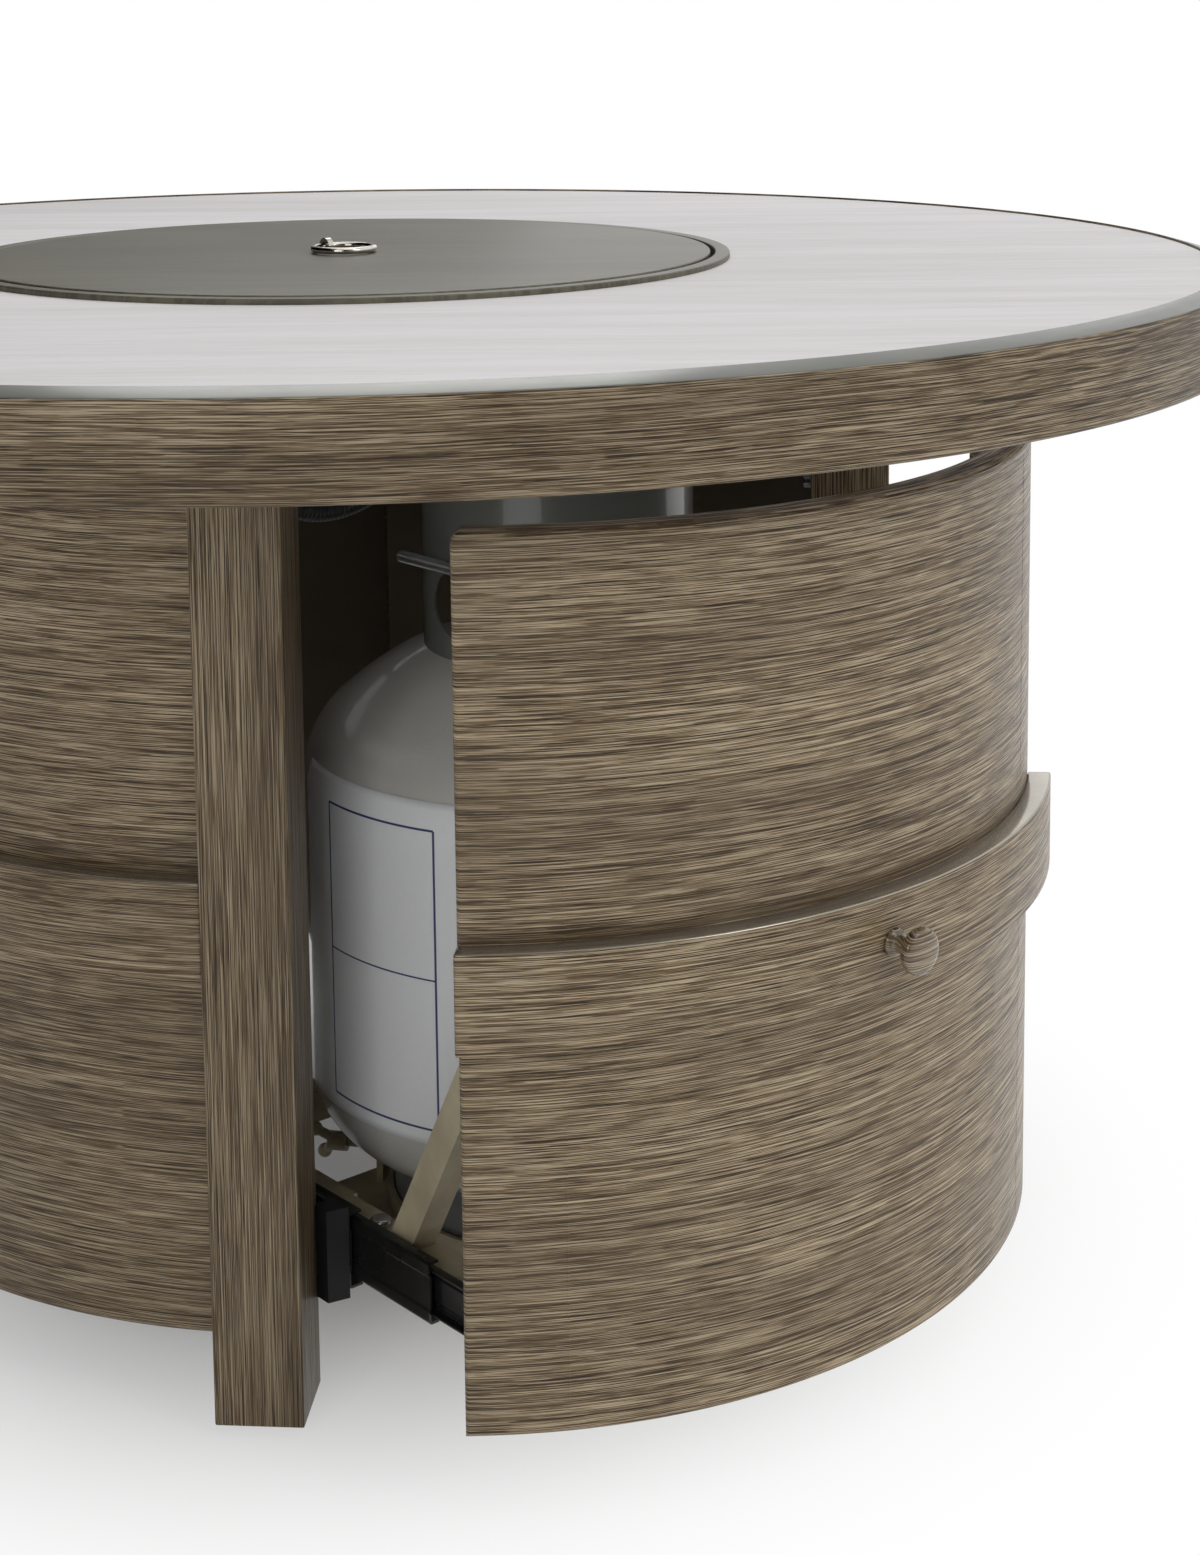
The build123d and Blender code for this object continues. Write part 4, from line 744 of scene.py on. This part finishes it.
class FirePitStudio(bpy.types.PropertyGroup):
    """Camera and light of the studio."""
    lens: FloatProperty(
        name="Lens", description="Focal length in millimetres", default=61.54, min=10, max=200)
    shift: FloatProperty(
        name="Shift", description="Upright shift of the frame", default=-0.2825)
    pitch: FloatProperty(
        name="Pitch", description="Camera tilt below level", default=math.radians(7.683), subtype="ANGLE")
    roll: FloatProperty(
        name="Roll", description="Camera roll", default=math.radians(-0.597), subtype="ANGLE")
    overhead: FloatProperty(
        name="Overhead", description="Power of the soft box above",
        default=59.0, min=0, unit="POWER")
    key: FloatProperty(
        name="Key light", description="Power of the soft box in front",
        default=22.5, min=0, unit="POWER")
    fill: FloatProperty(
        name="Fill light", description="Power of the soft box on the left",
        default=19.0, min=0, unit="POWER")
    side: FloatProperty(
        name="Side light", description="Power of the soft box on the right",
        default=3.2, min=0, unit="POWER")
    back: FloatProperty(
        name="Back light", description="Power of the soft box behind",
        default=20.0, min=0, unit="POWER")
    sky: FloatProperty(
        name="Surround", description="Strength of the white surround", default=1.0, min=0)


class FIREPIT_OT_top(bpy.types.Operator):
    """Rim with its bevel and apron, and the tile inside it"""
    bl_idname = "fire_pit.top"
    bl_label = "Table Top"

    def execute(self, context):
        low, high = span("top_rim", 2)
        lip, bevel, seat, hem = 14.5 * MM, 4 * MM, 12 * MM, 19.5 * MM
        outer, inner = TOP_RADIUS, TOP_RADIUS - lip
        tile_low, tile_high = span("tile_top", 2)
        tile_high -= TILE_DROP
        corners = [
            (outer, low), (outer, high - bevel), (inner, high), (inner, tile_low),
            (inner - seat, tile_low), (inner - seat, tile_low - SHEET), (outer - SHEET, tile_low - SHEET),
            (outer - SHEET, low + SHEET), (outer - hem, low + SHEET), (outer - hem, low),
        ]
        rounds = np.array([3, 2.2, 0.5, 0.3, 0.3, 0.3, 1, 1, 0.8, 0.8]) * MM
        points, quads = turned(softened(corners, rounds, 6), 400)
        tone = tuple(context.scene.fire_pit_colours.rim_top)
        bare = finish_of(bevel_finish, "rim_bevel", tone, 0.26, 0.35)
        rim = new_piece("rim", points, quads, [grain_rim(), bare], "table", ("top_rim",))
        centres = np.array([face.center for face in rim.data.polygons])
        slack = 0.1 * MM
        is_high = centres[:, 2] > high - bevel - slack
        is_outside = np.hypot(centres[:, 0], centres[:, 1]) > inner + slack
        second_finish(rim, is_high & is_outside)
        hole = 245.2 * MM
        edge = inner - 0.7 * MM
        corners = [(hole, tile_low), (edge, tile_low), (edge, tile_high), (hole, tile_high)]
        points, quads = turned(softened(corners, 0.8 * MM, 4), 320)
        new_piece("tile", points, quads, finish_of(tile_finish, "tile"), "table", ("tile_top",))
        dress(["top_frame"], steel("frame_black"))
        return {"FINISHED"}


class FIREPIT_OT_lid(bpy.types.Operator):
    """Trim ring, burner lid and its ring pull"""
    bl_idname = "fire_pit.lid"
    bl_label = "Lid and Trim"

    def execute(self, context):
        brushed = finish_of(lid_finish, "lid_metal")
        low, high = span("burner_trim_ring", 2)
        face = span("tile_top", 2)[1] - TILE_DROP
        ledge_width, ledge_wall, ring_wall = 12.5 * MM, 2 * MM, 3 * MM
        ledge = high - 10 * MM
        under = ledge - ledge_wall
        outer, inner = reach("burner_trim_ring"), 241.5 * MM
        corners = [
            (outer, face), (outer, high), (inner, high), (inner, ledge), (inner - ledge_width, ledge),
            (inner - ledge_width, under), (inner, under), (inner, low), (inner + ring_wall, low),
            (inner + ring_wall, face),
        ]
        rounds = np.array([0.3, 1.0, 1.0, 0.3, 0.5, 0.5, 0.3, 0.5, 0.5, 0.3]) * MM
        points, quads = turned(softened(corners, rounds, 5), 360)
        new_piece("trim_ring", points, quads, brushed, "table", ("burner_trim_ring",))
        low, high = span("lid", 2)
        edge = reach("lid")
        within = edge - 2.5 * MM
        under = high - 2 * MM
        corners = [(0, under), (within, under), (within, low), (edge, low), (edge, high), (0, high)]
        rounds = np.array([0, 0.5, 0.6, 0.6, 1.2, 0]) * MM
        points, quads = turned(softened(corners, rounds, 6), 360)
        new_piece("burner_lid", points, quads, brushed, "lid", ("lid",))
        low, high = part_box("pull_ring")
        centre = [(a + b) / 2 for a, b in zip(low, high)]
        wire = (high[2] - low[2]) / 2
        mean = (high[0] - low[0]) / 2 - wire
        t = np.linspace(0, 2 * np.pi, 20, endpoint=False)
        section = np.stack([mean + wire * np.cos(t), centre[2] + wire * np.sin(t)], axis=-1)
        points, quads = turned(section, 96, centre[:2])
        new_piece("ring_pull", points, quads, steel("nickel"), "pull_ring", ("pull_ring",))
        dress(["pull_staple"], steel("nickel"))
        return {"FINISHED"}


class FIREPIT_OT_legs(bpy.types.Operator):
    """Four square legs with soft edges, and their glides"""
    bl_idname = "fire_pit.legs"
    bl_label = "Legs"

    def execute(self, context):
        edge = context.scene.fire_pit_sizes.edge
        low, high = span("leg_front_left", 2)
        half = LEG_WIDTH / 2
        headings = {"front_left": 225, "front_right": 315, "rear_right": 45, "rear_left": 135}
        for name, heading in headings.items():
            points, faces = soft_bar(LEG_FACE - LEG_WIDTH, LEG_FACE, -half, half, low, high, edge)
            post = new_piece("post_" + name, spun(points, heading), faces,
                             [grain_upright(), inside_coating()], "table", ("leg_" + name,))
            outward = face_normals(post) @ spun((1, 0, 0), heading)
            second_finish(post, outward < -0.7)
        dress(["leg_glides"], black_plastic())
        return {"FINISHED"}


def sheet_pan(name, heading, gap, out, body, node):
    """Folded curved sheet with its thickness turned inwards."""
    points, quads = folded_pan(heading, gap, out, bpy.context.scene.fire_pit_sizes.fold)
    grain = grain_drawer() if out else grain_across()
    pan = new_piece(name, points, quads, [grain, inside_coating()], body, (node,))
    from_axis = np.array([face.area * (face.center + Vector((0, out, 0))) for face in pan.data.polygons])
    if np.sum(from_axis[:, :2] * face_normals(pan)[:, :2]) < 0:
        pan.data.flip_normals()
    wall = pan.modifiers.new("sheet", "SOLIDIFY")
    wall.thickness = SHEET
    wall.offset = -1
    wall.material_offset = 1


def raised_belt(name, heading, gap, out, body, node):
    """Raised band of a panel, grained on its face and bare metal along its upward edge."""
    scene = bpy.context.scene
    points, faces = curved_slab(heading, gap, out, DRUM_RADIUS, BAND_RADIUS, BAND_LOW, BAND_HIGH,
                                scene.fire_pit_sizes.band_edge)
    grain = grain_drawer() if out else grain_across()
    edge = finish_of(bevel_finish, "belt_edge", tuple(scene.fire_pit_colours.belt_edge), 0.1, 0.7)
    belt = new_piece(name, points, faces, [grain, edge], body, (node,))
    second_finish(belt, face_normals(belt)[:, 2] > 0.3)


class FIREPIT_OT_drum(bpy.types.Operator):
    """Fixed curved panels between the legs, and their raised bands"""
    bl_idname = "fire_pit.drum"
    bl_label = "Drum Panels"

    def execute(self, context):
        for side, heading in (("rear", 90), ("left", 180)):
            sheet_pan("skin_" + side, heading, 0, 0, "table", "panel_" + side)
        shaded = finish_of(grain_finish, "grain_level_shaded", shade_radius=DRUM_RADIUS - SHEET / 2)
        dress(["panel_right"], shaded)
        for side, heading in (("right", 0), ("rear", 90), ("left", 180)):
            raised_belt("belt_" + side, heading, 0, 0, "table", "band_" + side)
        dress(["frame_screws", "bowl_screws"], steel("dark_chrome"))
        return {"FINISHED"}


class FIREPIT_OT_drawer(bpy.types.Operator):
    """Drawer front with its stiffeners, band, knob and cylinder guard"""
    bl_idname = "fire_pit.drawer"
    bl_label = "Drawer Front"

    def execute(self, context):
        sheet_pan("drawer_skin", 270, DRAWER_GAP, DRAWER_OUT, "drawer", "drawer_front")
        raised_belt("drawer_belt", 270, DRAWER_GAP, DRAWER_OUT, "drawer", "drawer_band")
        inset = 4 * MM
        back_radius, front_radius = DRUM_RADIUS - FLANGE_DEPTH, DRUM_RADIUS - inset
        back = -DRAWER_OUT - math.sqrt(back_radius ** 2 - (STIFFENER_X + STIFFENER_HALF) ** 2)
        front = -DRAWER_OUT - math.sqrt(front_radius ** 2 - (STIFFENER_X - STIFFENER_HALF) ** 2) + 8 * MM
        low, high = PANEL_LOW + inset, PANEL_HIGH - inset
        for side, x in (("left", -STIFFENER_X), ("right", STIFFENER_X)):
            left, right = x - STIFFENER_HALF, x + STIFFENER_HALF
            points, faces = soft_bar(left, right, front, back, low, high, 1.5 * MM)
            new_piece("stiffener_" + side, points, faces, grain_drawer(), "drawer", ())
        base = (0, span("drawer_knob", 1)[1], sum(span("drawer_knob", 2)) / 2)
        outline = np.array([
            (0, 0), (7.4, 0), (8, 0.8), (8, 1.8), (7.2, 2.8), (5.2, 3.6), (4.3, 5), (4.0, 8), (4.1, 11.5),
            (5.2, 13.6), (8.4, 14.6), (11.4, 15.2), (12.8, 16.6), (13, 18.6), (12.7, 20.4), (11.6, 21.6),
            (9.4, 22.3), (5, 22.9), (0, 23.1),
        ]) * MM
        points, quads = turned_along(outline, base, (0, -1, 0))
        grain = finish_of(grain_finish, "grain_knob", centre_y=-DRAWER_OUT, depth=0.8, gloss=1.0)
        knob = new_piece("pull_knob", points, quads, grain, "drawer", ("drawer_knob",))
        smooth = knob.modifiers.new("smooth", "SUBSURF")
        smooth.levels = smooth.render_levels = 1
        dress(["cylinder_guard"], steel("zinc"))
        return {"FINISHED"}


class FIREPIT_OT_tray(bpy.types.Operator):
    """Tray, braces, clamp, ball slides and their rails"""
    bl_idname = "fire_pit.tray"
    bl_label = "Tray and Slides"

    def execute(self, context):
        dress(["tray_frame", "tray_floor", "cylinder_seat", "brace_left", "brace_right", "wing_screw",
               "base_rail_left", "base_rail_right"], steel("tan_steel"))
        dress(["slide_end_blocks"], finish_of(plastic_finish, "block_black", (0.008, 0.008, 0.009), 0.7))
        for member, body in (("outer", "table"), ("middle", "slide_middle"), ("inner", "drawer")):
            for side in ("left", "right"):
                node = "slide_%s_%s" % (member, side)
                x0, x1 = span(node, 0)
                web, lips = (x0, x1) if (side == "left") != (member == "inner") else (x1, x0)
                points, faces = channel(web, lips, *span(node, 1), *span(node, 2))
                rolled = new_piece("channel_%s_%s" % (member, side), points, faces,
                                   steel("black_steel"), body, (node,))
                rolled.data.set_sharp_from_angle(angle=math.radians(40))
        dress(["slide_ball_cages"], steel("dark_chrome"))
        dress(["tray_bolts"], steel("bright_chrome"))
        return {"FINISHED"}


class FIREPIT_OT_cylinder(bpy.types.Operator):
    """Gas cylinder with its label, collar, foot and valve"""
    bl_idname = "fire_pit.cylinder"
    bl_label = "Gas Cylinder"

    def execute(self, context):
        tones = context.scene.fire_pit_colours
        enamel = finish_of(enamel_finish, "cylinder_enamel", tuple(tones.tank))
        low, high = span("tank_shell", 2)
        belly, shoulder = low + BASE_HEIGHT, high - HEAD_HEIGHT

        def head(height, knuckle):
            """Knuckle arc then crown arc of a domed head, from its edge to the axis."""
            inner = TANK_RADIUS - knuckle
            crown = (inner ** 2 + height ** 2 - knuckle ** 2) / (2 * (height - knuckle))
            tilt = math.atan2(inner, crown - height)
            a = np.linspace(0, np.pi / 2 - tilt, 14)
            b = np.linspace(tilt, 0, 26)[1:]
            r = np.concatenate([inner + knuckle * np.cos(a), crown * np.sin(b)])
            h = np.concatenate([knuckle * np.sin(a), height - crown * (1 - np.cos(b))])
            return r, h

        r_up, h_up = head(HEAD_HEIGHT, HEAD_KNUCKLE)
        r_down, h_down = head(BASE_HEIGHT, BASE_KNUCKLE)
        side = np.linspace(belly, shoulder, 40)[1:-1]
        side_radius = TANK_RADIUS - WELD_STEP
        r = np.concatenate([r_down[::-1], np.full(len(side), side_radius), r_up])
        z = np.concatenate([(belly - h_down)[::-1], side, shoulder + h_up])
        points, quads = turned(np.stack([r, z], axis=-1), 160, (0, TANK_Y))
        quads = quads[(quads[:, 0] % len(r)) != len(r) - 1]
        new_piece("cylinder_body", points, quads, enamel, "gas_cylinder", ("tank_shell",))

        z0, z1 = span("tank_label", 2)
        z0, z1 = z0 - LABEL_LOWER, z1 + LABEL_HIGHER
        columns, rows = 73, 49
        u = np.linspace(0, 1, columns)[:, None]
        v = np.linspace(0, 1, rows)[None, :]
        angle = np.radians(LABEL_ANGLES[0] + (LABEL_ANGLES[1] - LABEL_ANGLES[0]) * u)
        height = z0 + (z1 - z0) * v
        radius = np.minimum(np.interp(height, z, r), side_radius) + LABEL_LIFT
        x = radius * np.cos(angle)
        y = TANK_Y + radius * np.sin(angle)
        points = np.stack([x, y, np.broadcast_to(height, x.shape)], axis=-1)
        label = new_piece("blank_label", points, grid_quads(columns, rows),
                          finish_of(label_finish, "label_paper"), "gas_cylinder", ("tank_label",),
                          weld=False)
        if label.data.polygons[0].normal.dot(Vector(points[0, 0]) - Vector((0, TANK_Y, z0))) < 0:
            label.data.flip_normals()
        sheet = label.data.uv_layers.new(name="sheet")
        u = np.broadcast_to(u, x.shape).ravel()
        v = np.broadcast_to(v, x.shape).ravel()
        index = np.empty(len(label.data.loops), dtype=np.int32)
        label.data.loops.foreach_get("vertex_index", index)
        sheet.data.foreach_set("uv", np.stack([u[index], v[index]], axis=-1).ravel())
        paper = label.modifiers.new("paper", "SOLIDIFY")
        paper.thickness = 0.2 * MM
        paper.offset = -1
        dress(["tank_collar"], finish_of(enamel_finish, "collar_enamel", (0.2, 0.21, 0.19)))
        dress(["tank_foot"], steel("foot_grey"))
        dress(["tank_valve"], steel("brass"))
        dress(["tank_handwheel"], black_plastic())
        return {"FINISHED"}


class FIREPIT_OT_burner(bpy.types.Operator):
    """Burner bowl, ring, pilot, shield and the bed of fire glass"""
    bl_idname = "fire_pit.burner"
    bl_label = "Burner"

    def execute(self, context):
        dress(["burner_bowl", "burner_ring", "pilot_igniter"], steel("stainless"))
        dress(["heat_shield"], steel("zinc"))
        dress(["burner_locknut", "burner_feed_pipe"], steel("brass"))
        count = context.scene.fire_pit_sizes.shards
        rng = np.random.default_rng(7)
        low, high = span("fire_glass", 2)
        bed_inner, bed_outer, bed_depth, spread = 21 * MM, 223 * MM, 8 * MM, 214 * MM
        ring_radius, ring_clear, spoke_clear = 120 * MM, 16 * MM, 12 * MM
        pilot_y, pilot_clear = 160 * MM, 24 * MM
        size = rng.uniform(4.5, 8.0, count) * MM
        r = np.sqrt(rng.uniform(0.012, 1.0, count)) * spread
        a = rng.uniform(0, 2 * np.pi, count)
        z = rng.uniform(low + bed_depth, high - 2 * MM, count)
        x, y = r * np.cos(a), r * np.sin(a)
        keep = np.abs(r - ring_radius) > ring_clear
        keep &= np.minimum(np.abs(x), np.abs(y)) > spoke_clear
        keep &= ~((np.abs(x) < pilot_clear) & (np.abs(y - pilot_y) < pilot_clear))
        centres = np.stack([x, y, z], axis=-1)[keep]
        size = size[keep]
        shards = len(size)
        axes = np.array([(1, 0, 0), (-1, 0, 0), (0, 1, 0), (0, -1, 0), (0, 0, 1), (0, 0, -1)], float)
        sides = np.array([
            (0, 2, 4), (2, 1, 4), (1, 3, 4), (3, 0, 4), (2, 0, 5), (1, 2, 5), (3, 1, 5), (0, 3, 5)])
        stretch = rng.uniform(0.6, 1.25, (shards, 6, 1))
        shape = axes[None] * stretch + rng.normal(0, 0.16, (shards, 6, 3))
        spin = np.linalg.qr(rng.normal(size=(shards, 3, 3)))[0]
        points = centres[:, None] + (shape @ spin) * size[:, None, None]
        points[..., 2] = np.clip(points[..., 2], low + 0.2 * MM, high + 5 * MM)
        faces = (sides[None] + 6 * np.arange(shards)[:, None, None]).reshape(-1, 3)
        top = low + bed_depth
        corners = [(bed_inner, low), (bed_outer, low), (bed_outer, top), (bed_inner, top)]
        bed = turned(softened(corners, 1 * MM, 3), 96)
        points, faces = joined([(points, faces), bed])
        new_piece("glass_bed", points, faces, finish_of(glass_finish, "tumbled_glass"), "table",
                  ("fire_glass",), smooth=False)
        return {"FINISHED"}


class FIREPIT_OT_controls(bpy.types.Operator):
    """Control plate, gas knob, igniter and gas valve"""
    bl_idname = "fire_pit.controls"
    bl_label = "Gas Controls"

    def execute(self, context):
        dress(["control_plate"], steel("control_plate"))
        dress(["gas_valve"], steel("brass"))
        dress(["control_knob", "igniter_module"], black_plastic())
        dress(["igniter_button"], finish_of(plastic_finish, "button_red", (0.25, 0.02, 0.015), 0.35))
        return {"FINISHED"}


# Route of the gas line in millimetres, in an upright plane across the drum
HOSE_ROUTE = [
    (-61.0, 528.0), (-61.0, 482.0), (-24.2, 445.2), (31.8, 445.2), (80.4, 476.8), (150.0, 480.0),
    (215.0, 480.0),
]
HOSE_Y = 30.0


class FIREPIT_OT_hose(bpy.types.Operator):
    """Corrugated gas line: a circle whose radius waves along the route from the burner to the valve"""
    bl_idname = "fire_pit.hose"
    bl_label = "Gas Line"

    def execute(self, context):
        line = bpy.data.curves.new("hose_route", "CURVE")
        line.dimensions = "3D"
        line.resolution_u = 24
        spline = line.splines.new("NURBS")
        spline.points.add(len(HOSE_ROUTE) - 1)
        for point, (x, z) in zip(spline.points, HOSE_ROUTE):
            point.co = (x * MM, HOSE_Y * MM, z * MM, 1)
        spline.order_u = 3
        spline.use_endpoint_u = True
        holder = bpy.data.objects.new("hose_route", line)
        context.scene.collection.objects.link(holder)
        traced = bpy.data.meshes.new_from_object(holder)
        route = np.array([v.co for v in traced.vertices])
        bpy.data.objects.remove(holder)
        bpy.data.meshes.remove(traced)
        along = np.concatenate([[0], np.cumsum(np.linalg.norm(np.diff(route, axis=0), axis=1))])
        length = along[-1]
        ribs = context.scene.fire_pit_sizes.hose_ribs
        s = np.linspace(0, length, ribs * 6 + 1)
        path = np.stack([np.interp(s, along, route[:, k]) for k in range(3)], axis=-1)
        tangent = np.gradient(path, axis=0)
        tangent /= np.linalg.norm(tangent, axis=1)[:, None]
        side = np.array([0.0, 1.0, 0.0])
        other = np.cross(tangent, side)
        around = np.linspace(0, 2 * np.pi, 20, endpoint=False)
        plain_end, mean, rib = 10 * MM, 5.72 * MM, 0.53 * MM
        ribbed = np.clip(np.minimum(s, length - s) / plain_end, 0, 1)
        radius = mean + rib * np.cos(2 * np.pi * s / length * ribs) * ribbed
        ring = np.cos(around)[None, :, None] * side + np.sin(around)[None, :, None] * other[:, None]
        points = path[:, None] + radius[:, None, None] * ring
        hose = new_piece("gas_line", points, capped(len(s), len(around)), steel("hose_steel"), "table",
                         ("burner_hose",))
        return {"FINISHED"}


CAMERA_PLACE = (-0.9935, -1.4183, 0.7967)
CAMERA_AHEAD = (0.6497, 0.7602, 0)


class FIREPIT_OT_stage(bpy.types.Operator):
    """White floor, soft boxes, surround and the camera"""
    bl_idname = "fire_pit.stage"
    bl_label = "Studio"

    def execute(self, context):
        scene = context.scene
        studio = scene.fire_pit_studio
        scene.view_settings.view_transform = "Standard"
        f = new_finish("floor_white")
        grit = f.noise(f.place((30, 30, 30)), 2.0)
        pale = f.mixed(grit, (0.93, 0.93, 0.93), (0.95, 0.95, 0.95))
        matt = f.shader({"Base Color": pale, "Roughness": 0.8})
        rays = [f.node("ShaderNodeLightPath", {}, {}, kind)
                for kind in ("Is Camera Ray", "Is Glossy Ray", "Is Transmission Ray")]
        # Painted light: the floor's white glow grows with distance from the axis, so its shade fades by
        # radius round the table as well as by the lamps.
        glow_away_from_table = f.from_axis().between(0.1, 0.58)
        paper = (0.12 + glow_away_from_table * 0.88) * (rays[0] + rays[1] + rays[2]).clipped()
        glow = f.node("ShaderNodeEmission", {}, {"Color": (1, 1, 1), "Strength": 1.0})
        f.finished(f.node("ShaderNodeMixShader", {}, {0: paper, 1: matt, 2: glow}))
        mesh = bpy.data.meshes.new("floor")
        far = 150.0
        corners = [(-far, -far, 0), (far, -far, 0), (far, far, 0), (-far, far, 0)]
        mesh.from_pydata(corners, [], [(0, 1, 2, 3)])
        mesh.materials.append(f.owner)
        floor = bpy.data.objects.new("floor", mesh)
        scene.collection.objects.link(floor)

        scene.world = bpy.data.worlds.new("surround")
        sky = Finish(scene.world)
        toward = sky.node("ShaderNodeTexCoord", {}, {}, "Generated")
        bright_side = (1.1, -0.36, 0.18)
        side = sky.node("ShaderNodeVectorMath", {"operation": "DOT_PRODUCT"}, {
            0: toward, 1: bright_side}, "Value")
        height = sky.node("ShaderNodeSeparateXYZ", {}, {0: toward}, "Z")
        soft = sky.node("ShaderNodeBackground", {}, {
            "Color": (1, 1, 1),
            "Strength": (0.12 + side).clipped() * (0.4 + height.between(-0.02, 0.25) * 0.6) * studio.sky})
        white = sky.node("ShaderNodeBackground", {}, {"Color": (1, 1, 1), "Strength": 1.0})
        seen = sky.node("ShaderNodeLightPath", {}, {}, "Is Camera Ray")
        sky.finished(sky.node("ShaderNodeMixShader", {}, {0: seen, 1: soft, 2: white}), "World")

        aim = (0, -0.2, 0.35)
        boxes = (
            ("overhead", (-0.3, -0.8, 5.0), aim, studio.overhead, 4.0),
            ("key", (0.9, -3.8, 2.7), aim, studio.key, 1.5),
            ("fill", (-2.6, -1.9, 1.4), aim, studio.fill, 1.5),
            ("side", (2.6, 1.9, 1.35), (0, 0, 0.6), studio.side, 1.5),
            ("back", (1.7, 2.3, 3.1), aim, studio.back, 1.6),
        )
        for name, where, target, power, size in boxes:
            lamp = bpy.data.lights.new(name, "AREA")
            lamp.energy = power
            lamp.shape = "SQUARE"
            lamp.size = size
            holder = bpy.data.objects.new(name, lamp)
            holder.location = where
            holder.rotation_mode = "QUATERNION"
            holder.rotation_quaternion = (Vector(target) - Vector(where)).to_track_quat("-Z", "Y")
            scene.collection.objects.link(holder)

        lens = bpy.data.cameras.new("camera")
        lens.sensor_width = 36
        lens.sensor_fit = "AUTO"
        lens.lens = studio.lens
        lens.shift_y = studio.shift
        lens.clip_end = 500
        camera = bpy.data.objects.new("camera", lens)
        ahead = Vector(CAMERA_AHEAD).normalized()
        right = Vector((ahead.y, -ahead.x, 0))
        view = ahead * math.cos(studio.pitch) - Vector((0, 0, math.sin(studio.pitch)))
        up = right.cross(view)
        rolled = right * math.cos(studio.roll) + up * math.sin(studio.roll)
        above = up * math.cos(studio.roll) - right * math.sin(studio.roll)
        pose = Matrix((rolled, above, -view)).transposed().to_4x4()
        pose.translation = Vector(CAMERA_PLACE)
        camera.matrix_world = pose
        scene.collection.objects.link(camera)
        scene.camera = camera
        return {"FINISHED"}


class FIREPIT_PT_sidebar(bpy.types.Panel):
    """Steps and settings of the fire pit table"""
    bl_label = "Fire Pit Table"
    bl_idname = "FIREPIT_PT_sidebar"
    bl_space_type = "VIEW_3D"
    bl_region_type = "UI"
    bl_category = "Fire Pit"

    def draw(self, context):
        for step in STEPS:
            self.layout.operator(step.bl_idname)
        for name, group in GROUPS:
            settings = getattr(context.scene, name)
            box = self.layout.box()
            for key in group.__annotations__:
                box.prop(settings, key)


STEPS = (
    FIREPIT_OT_top, FIREPIT_OT_lid, FIREPIT_OT_legs, FIREPIT_OT_drum, FIREPIT_OT_drawer, FIREPIT_OT_tray,
    FIREPIT_OT_cylinder, FIREPIT_OT_burner, FIREPIT_OT_controls, FIREPIT_OT_hose, FIREPIT_OT_stage,
)
GROUPS = (
    ("fire_pit_sizes", FirePitSizes),
    ("fire_pit_colours", FirePitColours),
    ("fire_pit_studio", FirePitStudio),
)


def register():
    for name, group in GROUPS:
        bpy.utils.register_class(group)
        setattr(bpy.types.Scene, name, PointerProperty(type=group))
    for step in STEPS + (FIREPIT_PT_sidebar,):
        bpy.utils.register_class(step)


def unregister():
    for step in (FIREPIT_PT_sidebar,) + STEPS[::-1]:
        bpy.utils.unregister_class(step)
    for name, group in GROUPS:
        delattr(bpy.types.Scene, name)
        bpy.utils.unregister_class(group)


def main():
    register()
    bpy.ops.fire_pit.top()
    bpy.ops.fire_pit.lid()
    bpy.ops.fire_pit.legs()
    bpy.ops.fire_pit.drum()
    bpy.ops.fire_pit.drawer()
    bpy.ops.fire_pit.tray()
    bpy.ops.fire_pit.cylinder()
    bpy.ops.fire_pit.burner()
    bpy.ops.fire_pit.controls()
    bpy.ops.fire_pit.hose()
    bpy.ops.fire_pit.stage()


if __name__ == "__main__":
    main()
